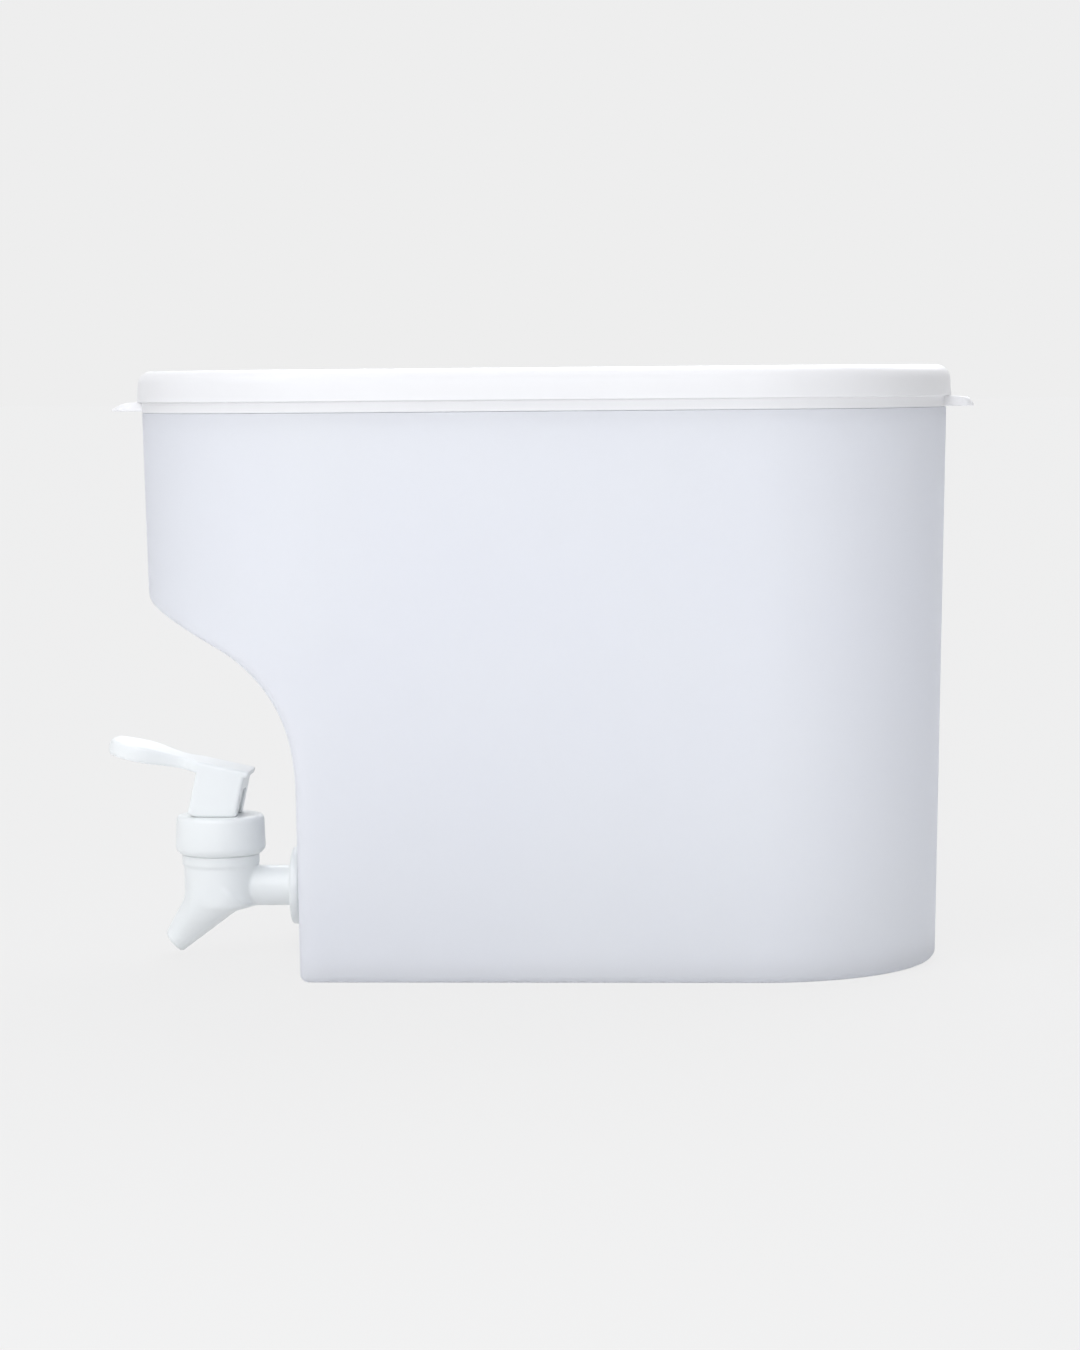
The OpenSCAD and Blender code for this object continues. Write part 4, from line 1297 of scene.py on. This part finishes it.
@dataclass
class Lever:
    """The tap's lever: a cheeked block on the stem's trunnions with a paddle for the finger."""

    x: float
    pivot: float = 51.3
    tilt: float = 12.5
    travel: float = 25.0
    cam: float = 5.5
    drop: float = 6.2
    front: float = 8.0
    back: float = 7.3
    lip: float = 1.3
    lip_thickness: float = 2.0
    reach: float = 38.0
    top: float = 10.0
    neck: float = 3.7
    paddle: float = 5.2
    width: float = 17.0
    neck_width: float = 13.0
    paddle_width: float = 20.0
    slot_width: float = 7.0
    slot_front: float = 4.8
    slot_top: float = 3.6
    socket: float = 1.78
    socket_reach: float = 6.1
    skin: float = 2.0
    rim: float = 1.6
    near: float = 13.0
    far: float = 26.0
    blend: float = 5.0
    edge: float = 0.9
    low: tuple[float, ...] = (-39.5, -10.6, -7.5)
    high: tuple[float, ...] = (10.5, 10.6, 20.0)
    cell: float = 0.5

    def side(self, inset: float) -> Pairs:
        """Side view of the lever laid level, lowered so that a skin is left over a hollow.

        Args:
            inset: Thickness of that skin, or 0 for the lever itself.

        Returns:
            The closed outline, as X and height from the pivot.
        """
        swell = self.paddle - self.neck
        share = slow_ends(12)
        run = [-self.near - (self.far - self.near) * i / 12 for i in range(13)]
        upper = [(x, self.top + 0.6 * swell * s - inset) for x, s in zip(run, share)]
        lower = [(x, self.top - self.neck - 0.4 * swell * s - inset) for x, s in zip(run, share)][::-1]
        r = self.paddle / 2
        tip = arc(-self.reach + r, self.top + 0.6 * swell - r - inset, r, 90, 270, 12)
        back, low, lip_end = self.back, -30.0, self.back + self.lip
        step = self.top - self.lip_thickness - inset
        start = [(lip_end, step), (lip_end, self.top - inset)]
        end = [(-self.front, self.top - self.neck - inset), (-self.front, low), (back, low), (back, step)]
        return start + upper + tip + lower + end

    def plan(self, inset: float) -> Pairs:
        """Plan of the lever, with its sides drawn in.

        Args:
            inset: Distance that they are drawn in.

        Returns:
            The closed outline, as X and Y.
        """
        centre = -self.reach + self.paddle_width / 2
        neck_x = -self.front - self.blend

        def taper(start: float, run: float, width: float, growth: float) -> Pairs:
            """Side edge from a start, along a run, as the width grows."""
            shares = enumerate(slow_ends(8))
            return [(start + run * i / 8, (width + e * growth) / 2 - inset) for i, e in shares]

        edge = [(self.back + self.lip, self.width / 2 - inset)]
        edge += taper(-self.front, -self.blend, self.width, self.neck_width - self.width)
        edge += taper(neck_x, centre - neck_x, self.neck_width, self.paddle_width - self.neck_width)[1:-1]
        tip = arc(centre, 0, self.paddle_width / 2 - inset, 90, 270, 24)
        return edge + tip + [(x, -y) for x, y in reversed(edge)]

    def heel(self) -> Pairs:
        """Side view of what lies above the heel cam while the tap is shut.

        Returns:
            The closed outline, as X and height from the pivot.
        """
        points = []
        for i in range(11):
            t = radians(self.travel * i / 10)
            c, s, d = cos(t), sin(t), self.drop + self.cam * t
            points.append((-self.cam * c - d * s, self.cam * s - d * c))
        t = radians(self.travel)
        last = (points[-1][0] - self.reach * cos(t), points[-1][1] + self.reach * sin(t))
        return [(90.0, 90.0), (90.0, -self.drop)] + points + [last, (-90.0, 90.0)]

    def field(self, p: Array) -> Array:
        """Signed distance of the lever about its pivot.

        Args:
            p: Points about the pivot.

        Returns:
            The distance for each point.
        """
        x, y, z = p[:, 0], p[:, 1], p[:, 2]
        t = radians(self.tilt)
        lx, lz = x * cos(t) - z * sin(t), x * sin(t) + z * cos(t)
        side, plan = polygon_distance(lx, lz, self.side(0)), polygon_distance(lx, y, self.plan(0))
        body = blend_common(side, plan, self.edge)
        side = polygon_distance(lx, lz, self.side(self.skin))
        pocket = blend_common(side, polygon_distance(lx, y, self.plan(self.rim)), 0.5)
        pocket = np.maximum.reduce([pocket, lx + self.front + 2.5, self.rim / 2 - np.abs(y)])
        slot = np.maximum.reduce([-self.slot_front - lx, np.abs(y) - self.slot_width / 2, lz - self.slot_top])
        body = blend_common(body, -pocket, 0.3)
        body = blend_common(body, -slot, 0.3)
        body = blend_common(body, polygon_distance(x, z, self.heel()), 0.35)
        socket = np.maximum(np.hypot(x, z) - self.socket, np.abs(y) - self.socket_reach)
        return np.maximum(body, -socket)

    def build(self) -> Piece:
        """Builds the lever."""
        made = skin("tap_lever", self.field, self.low, self.high, self.cell)
        return shift(made, x=self.x, z=self.pivot)


@dataclass
class Valve:
    """What works inside the tap: the silicone seat cup and the return spring over the stem."""

    x: float
    seat: float = 18.45
    floor: float = 23.05
    sleeve: float = 7.6
    wall: float = 0.8
    rim_radius: float = 10.9
    rim_low: float = 40.6
    top: float = 42.2
    foot: float = 5.8
    pocket: float = 5.3
    neck: float = 2.1
    barb: float = 3.1
    barb_height: float = 3.2
    spring_radius: float = 4.2
    wire: float = 0.9
    spring_low: float = 24.75
    open_turns: int = 5
    wire_cells: int = 10
    turn_cells: int = 32

    def cup(self) -> Piece:
        """Builds the seat cup.

        Returns:
            The cup, in its place.
        """
        f, s = self.floor, self.sleeve
        start = f + 4.2
        corners = [
            (0.05, self.seat), (self.foot - 0.8, self.seat), (self.foot, self.seat + 0.8),
            (self.foot, f - 0.9), (s, start), (s, self.rim_low), (self.rim_radius, self.rim_low),
            (self.rim_radius, self.top), (s - self.wall, self.top), (s - self.wall, start),
            (self.pocket, f + 0.4), (self.pocket, f), (self.neck, f), (self.neck, f - self.barb_height / 2),
            (self.barb, f - self.barb_height / 2), (self.barb, f - self.barb_height),
            (0.05, f - self.barb_height),
        ]
        return shift(lathe("seat_cup_silicone", soften(corners, 0.25, 2), 64), x=self.x)

    def spring(self) -> Piece:
        """Builds the return spring, with a closed turn at each end.

        Returns:
            The spring, in its place.
        """
        sides, steps = self.wire_cells, self.turn_cells
        count = (self.open_turns + 2) * steps
        turn = np.arange(count + 1) / steps
        closed = self.wire * 1.08
        pitch = (self.top - self.spring_low - self.wire - 2 * closed) / self.open_turns
        rise, last = closed + self.open_turns * pitch, 1 + self.open_turns
        z = np.interp(turn, [0, 1, last, last + 1], [0, closed, rise, rise + closed])
        z = z + self.spring_low + self.wire / 2
        b = np.linspace(0, 2 * pi, sides, endpoint=False)
        reach, lift = self.spring_radius + self.wire / 2 * np.cos(b), self.wire / 2 * np.sin(b)
        rings = [
            np.stack([reach * cos(a), reach * sin(a), height + lift], axis=1)
            for a, height in zip(2 * pi * turn, z)
        ]
        return shift(new_piece("return_spring_wire", *stack_rings(rings), WIRE_CREASE), x=self.x)


# ---------------------------------------------------------------- studio


@dataclass
class Studio:
    """Camera, soft lights, floor and background.

    Camera lengths are in millimetres and angles in degrees; the softbox is in metres.
    """

    target: tuple[float, float, float] = (1.146, 0.0, 89.1)
    distance: float = 1100.0
    pitch: float = 4.82
    yaw: float = 3.32
    roll: float = -0.51
    focal_pixels: float = 3479.0
    frame_height: float = 1350.0
    background: str = "EEEEEE"
    paper: str = "E6E6E6"
    tint: str = "FBFCFF"
    glow_share: float = 0.93
    ambient: float = 0.32
    floor_half: float = 30000.0
    # Name, azimuth from the front towards +X, height over the horizon, width in degrees, and strength.
    suns: tuple[tuple[str, float, float, float, float], ...] = (
        ("key", -38.0, 50.0, 40.0, 0.9),
        ("top", 0.0, 88.0, 50.0, 0.84),
        ("back", 165.0, 45.0, 50.0, 1.8),
    )
    softbox_place: tuple[float, float, float] = (-0.12, -0.65, 0.3)
    softbox_size: float = 0.4
    softbox_watts: float = 1.35

    def camera(self) -> None:
        """Sets up the camera."""
        p, y, r = (radians(v) for v in (self.pitch, self.yaw, self.roll))
        ahead = Vector((-sin(y) * cos(p), cos(y) * cos(p), -sin(p)))
        right = Vector((cos(y), sin(y), 0.0))
        up = right.cross(ahead)
        right, up = cos(r) * right + sin(r) * up, cos(r) * up - sin(r) * right
        place = Matrix((right, up, -ahead)).transposed().to_4x4()
        place.translation = (Vector(self.target) - ahead * self.distance) * MM
        made = bpy.data.objects.new("camera", bpy.data.cameras.new("camera"))
        made.matrix_world = place
        made.data.sensor_width = 36.0
        made.data.lens = 36.0 * self.focal_pixels / self.frame_height
        made.data.clip_start, made.data.clip_end = 0.01, 60.0
        bpy.context.scene.collection.objects.link(made)
        bpy.context.scene.camera = made

    def lamp(
        self, name: str, kind: str, energy: float, source: Vector, place: Sequence[float] = (0.0, 0.0, 0.0)
    ) -> bpy.types.Light:
        """Adds a lamp whose light comes from the direction of source, and returns its data.

        Args:
            name: The lamp's name.
            kind: Blender's type of light.
            energy: Its strength.
            source: Direction that its light comes from.
            place: Where it stands, in metres.

        Returns:
            The lamp's data.
        """
        data = bpy.data.lights.new(name, kind)
        data.energy, data.color = energy, linear(self.tint)[:3]
        made = bpy.data.objects.new(name, data)
        made.matrix_world = Matrix.Translation(place) @ source.to_track_quat("Z", "Y").to_matrix().to_4x4()
        bpy.context.scene.collection.objects.link(made)
        return data

    def sun(self, name: str, azimuth: float, height: float, spread: float, strength: float) -> None:
        """Adds a wide soft light that reaches the object and the whole floor evenly.

        Args:
            name: The light's name.
            azimuth: Direction it comes from in degrees, from the front towards +X.
            height: Its height over the horizon in degrees.
            spread: Its width in degrees.
            strength: Its strength.
        """
        a, e = radians(azimuth), radians(height)
        source = Vector((sin(a) * cos(e), -cos(a) * cos(e), sin(e)))
        self.lamp(name, "SUN", strength, source).angle = radians(spread)

    def softbox(self) -> None:
        """Adds a square lamp that faces the object."""
        place = Vector(self.softbox_place)
        aim = place - Vector((0.0, 0.0, self.target[2] * MM))
        self.lamp("near_key", "AREA", self.softbox_watts, aim, place).size = self.softbox_size

    def seen_light(self, tree: Tree) -> Socket:
        """Returns 1 for what the camera or gloss sees, and 0 for what lights the object.

        Args:
            tree: The node tree to add to.

        Returns:
            The socket that gives the value.
        """
        seen = add_node(tree, "LightPath").outputs
        either = {"operation": "MAXIMUM"}
        return add_node(tree, "Math", either, in0=seen["Is Camera Ray"], in1=seen["Is Glossy Ray"]).outputs[0]

    def surroundings(self) -> None:
        """Builds the world and the floor, which look like one pale sheet."""
        world = bpy.data.worlds.new("studio")
        bpy.context.scene.world = world
        tree = clear_tree(world)
        ambient = add_node(tree, "Background", Color=linear(self.tint), Strength=self.ambient)
        shown = add_node(tree, "Background", Color=linear(self.background), Strength=1.0)
        seen = self.seen_light(tree)
        mix = add_node(tree, "MixShader", in0=seen, in1=ambient.outputs[0], in2=shown.outputs[0])
        add_node(tree, "OutputWorld", Surface=mix.outputs[0])
        half = self.floor_half
        corners = [(x, y, 0.0) for x, y in corners_of(-half, -half, half, half)]
        floor = new_piece("floor", np.array(corners), [[0, 1, 2, 3]])
        paper = bpy.data.materials.new("studio_paper")
        tree = clear_tree(paper)
        matt = add_node(tree, "BsdfDiffuse", Color=linear(self.paper))
        glow = add_node(tree, "Emission", Color=linear(self.background), Strength=1.0)
        seen = self.seen_light(tree)
        share = add_node(tree, "Math", {"operation": "MULTIPLY"}, in0=seen, in1=self.glow_share)
        mix = add_node(tree, "MixShader", in0=share.outputs[0], in1=matt.outputs[0], in2=glow.outputs[0])
        add_node(tree, "OutputMaterial", Surface=mix.outputs[0])
        floor.data.materials.append(paper)

    def build(self) -> None:
        """Builds everything round the object."""
        self.camera()
        self.surroundings()
        for light in self.suns:
            self.sun(*light)
        self.softbox()
        bpy.context.scene.view_settings.view_transform = "Standard"


# ---------------------------------------------------------------- assembly


def dress(
    piece: Piece, body: Body, material: bpy.types.Material, stands_for: str | None = None
) -> None:
    """Gives a new piece its body, slot and material, and reports it.

    Args:
        piece: The piece.
        body: The body it rides on.
        material: Its material.
        stands_for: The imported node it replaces, where it does.
    """
    piece.data.materials.clear()
    piece.data.materials.append(material)
    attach(piece, body.value)
    if stands_for:
        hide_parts(stands_for)
    log.info("%s: %d faces on %s", piece.name, len(piece.data.polygons), body.value)


def middle(node: str) -> float:
    """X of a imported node's middle, in millimetres."""
    low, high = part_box(node)
    return (low.x + high.x) / 2 / MM


def main() -> None:
    """Builds the studio and every piece."""
    logging.basicConfig(level=logging.INFO, format="%(message)s")
    Studio().build()
    finishes = {
        Slot.TUB: MILKY_POLYPROPYLENE.material(),
        Slot.LID: LID_POLYETHYLENE.material(),
        Slot.TAP: TAP_POLYPROPYLENE.material(),
        Slot.SILICONE: PRESSED_SILICONE.material(),
        Slot.SPRING: DRAWN_STEEL.material(),
    }
    tub_x, tap_x = middle("container"), middle("bonnet")
    dress(Tub(tub_x).shell(), Body.ROOT, finishes[Slot.TUB], "container")
    dress(Lid(tub_x).build(), Body.LID, finishes[Slot.LID], "lid")
    tap = TapBody(tap_x)
    dress(tap.moulding(), Body.ROOT, finishes[Slot.TAP], "tap_body")
    dress(tap.threaded_shank(), Body.ROOT, finishes[Slot.TAP])
    dress(Bonnet(tap_x).build(), Body.ROOT, finishes[Slot.TAP], "bonnet")
    dress(Lever(tap_x).build(), Body.LEVER, finishes[Slot.TAP], "lever")
    valve = Valve(tap_x)
    cup, spring = valve.cup(), valve.spring()
    dress(cup, Body.ROOT, finishes[Slot.SILICONE], "seat_cup")
    dress(spring, Body.ROOT, finishes[Slot.SPRING], "return_spring")
    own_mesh(cup)
    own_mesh(spring)
    for node, slot in {
        "valve_stem": Slot.TAP, "lock_nut": Slot.TAP,
        "outer_washer": Slot.SILICONE, "inner_washer": Slot.SILICONE,
    }.items():
        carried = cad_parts[node]
        carried.data.materials.clear()
        carried.data.materials.append(finishes[slot])
        log.info("%s: carried over", node)


if __name__ == "__main__":
    main()
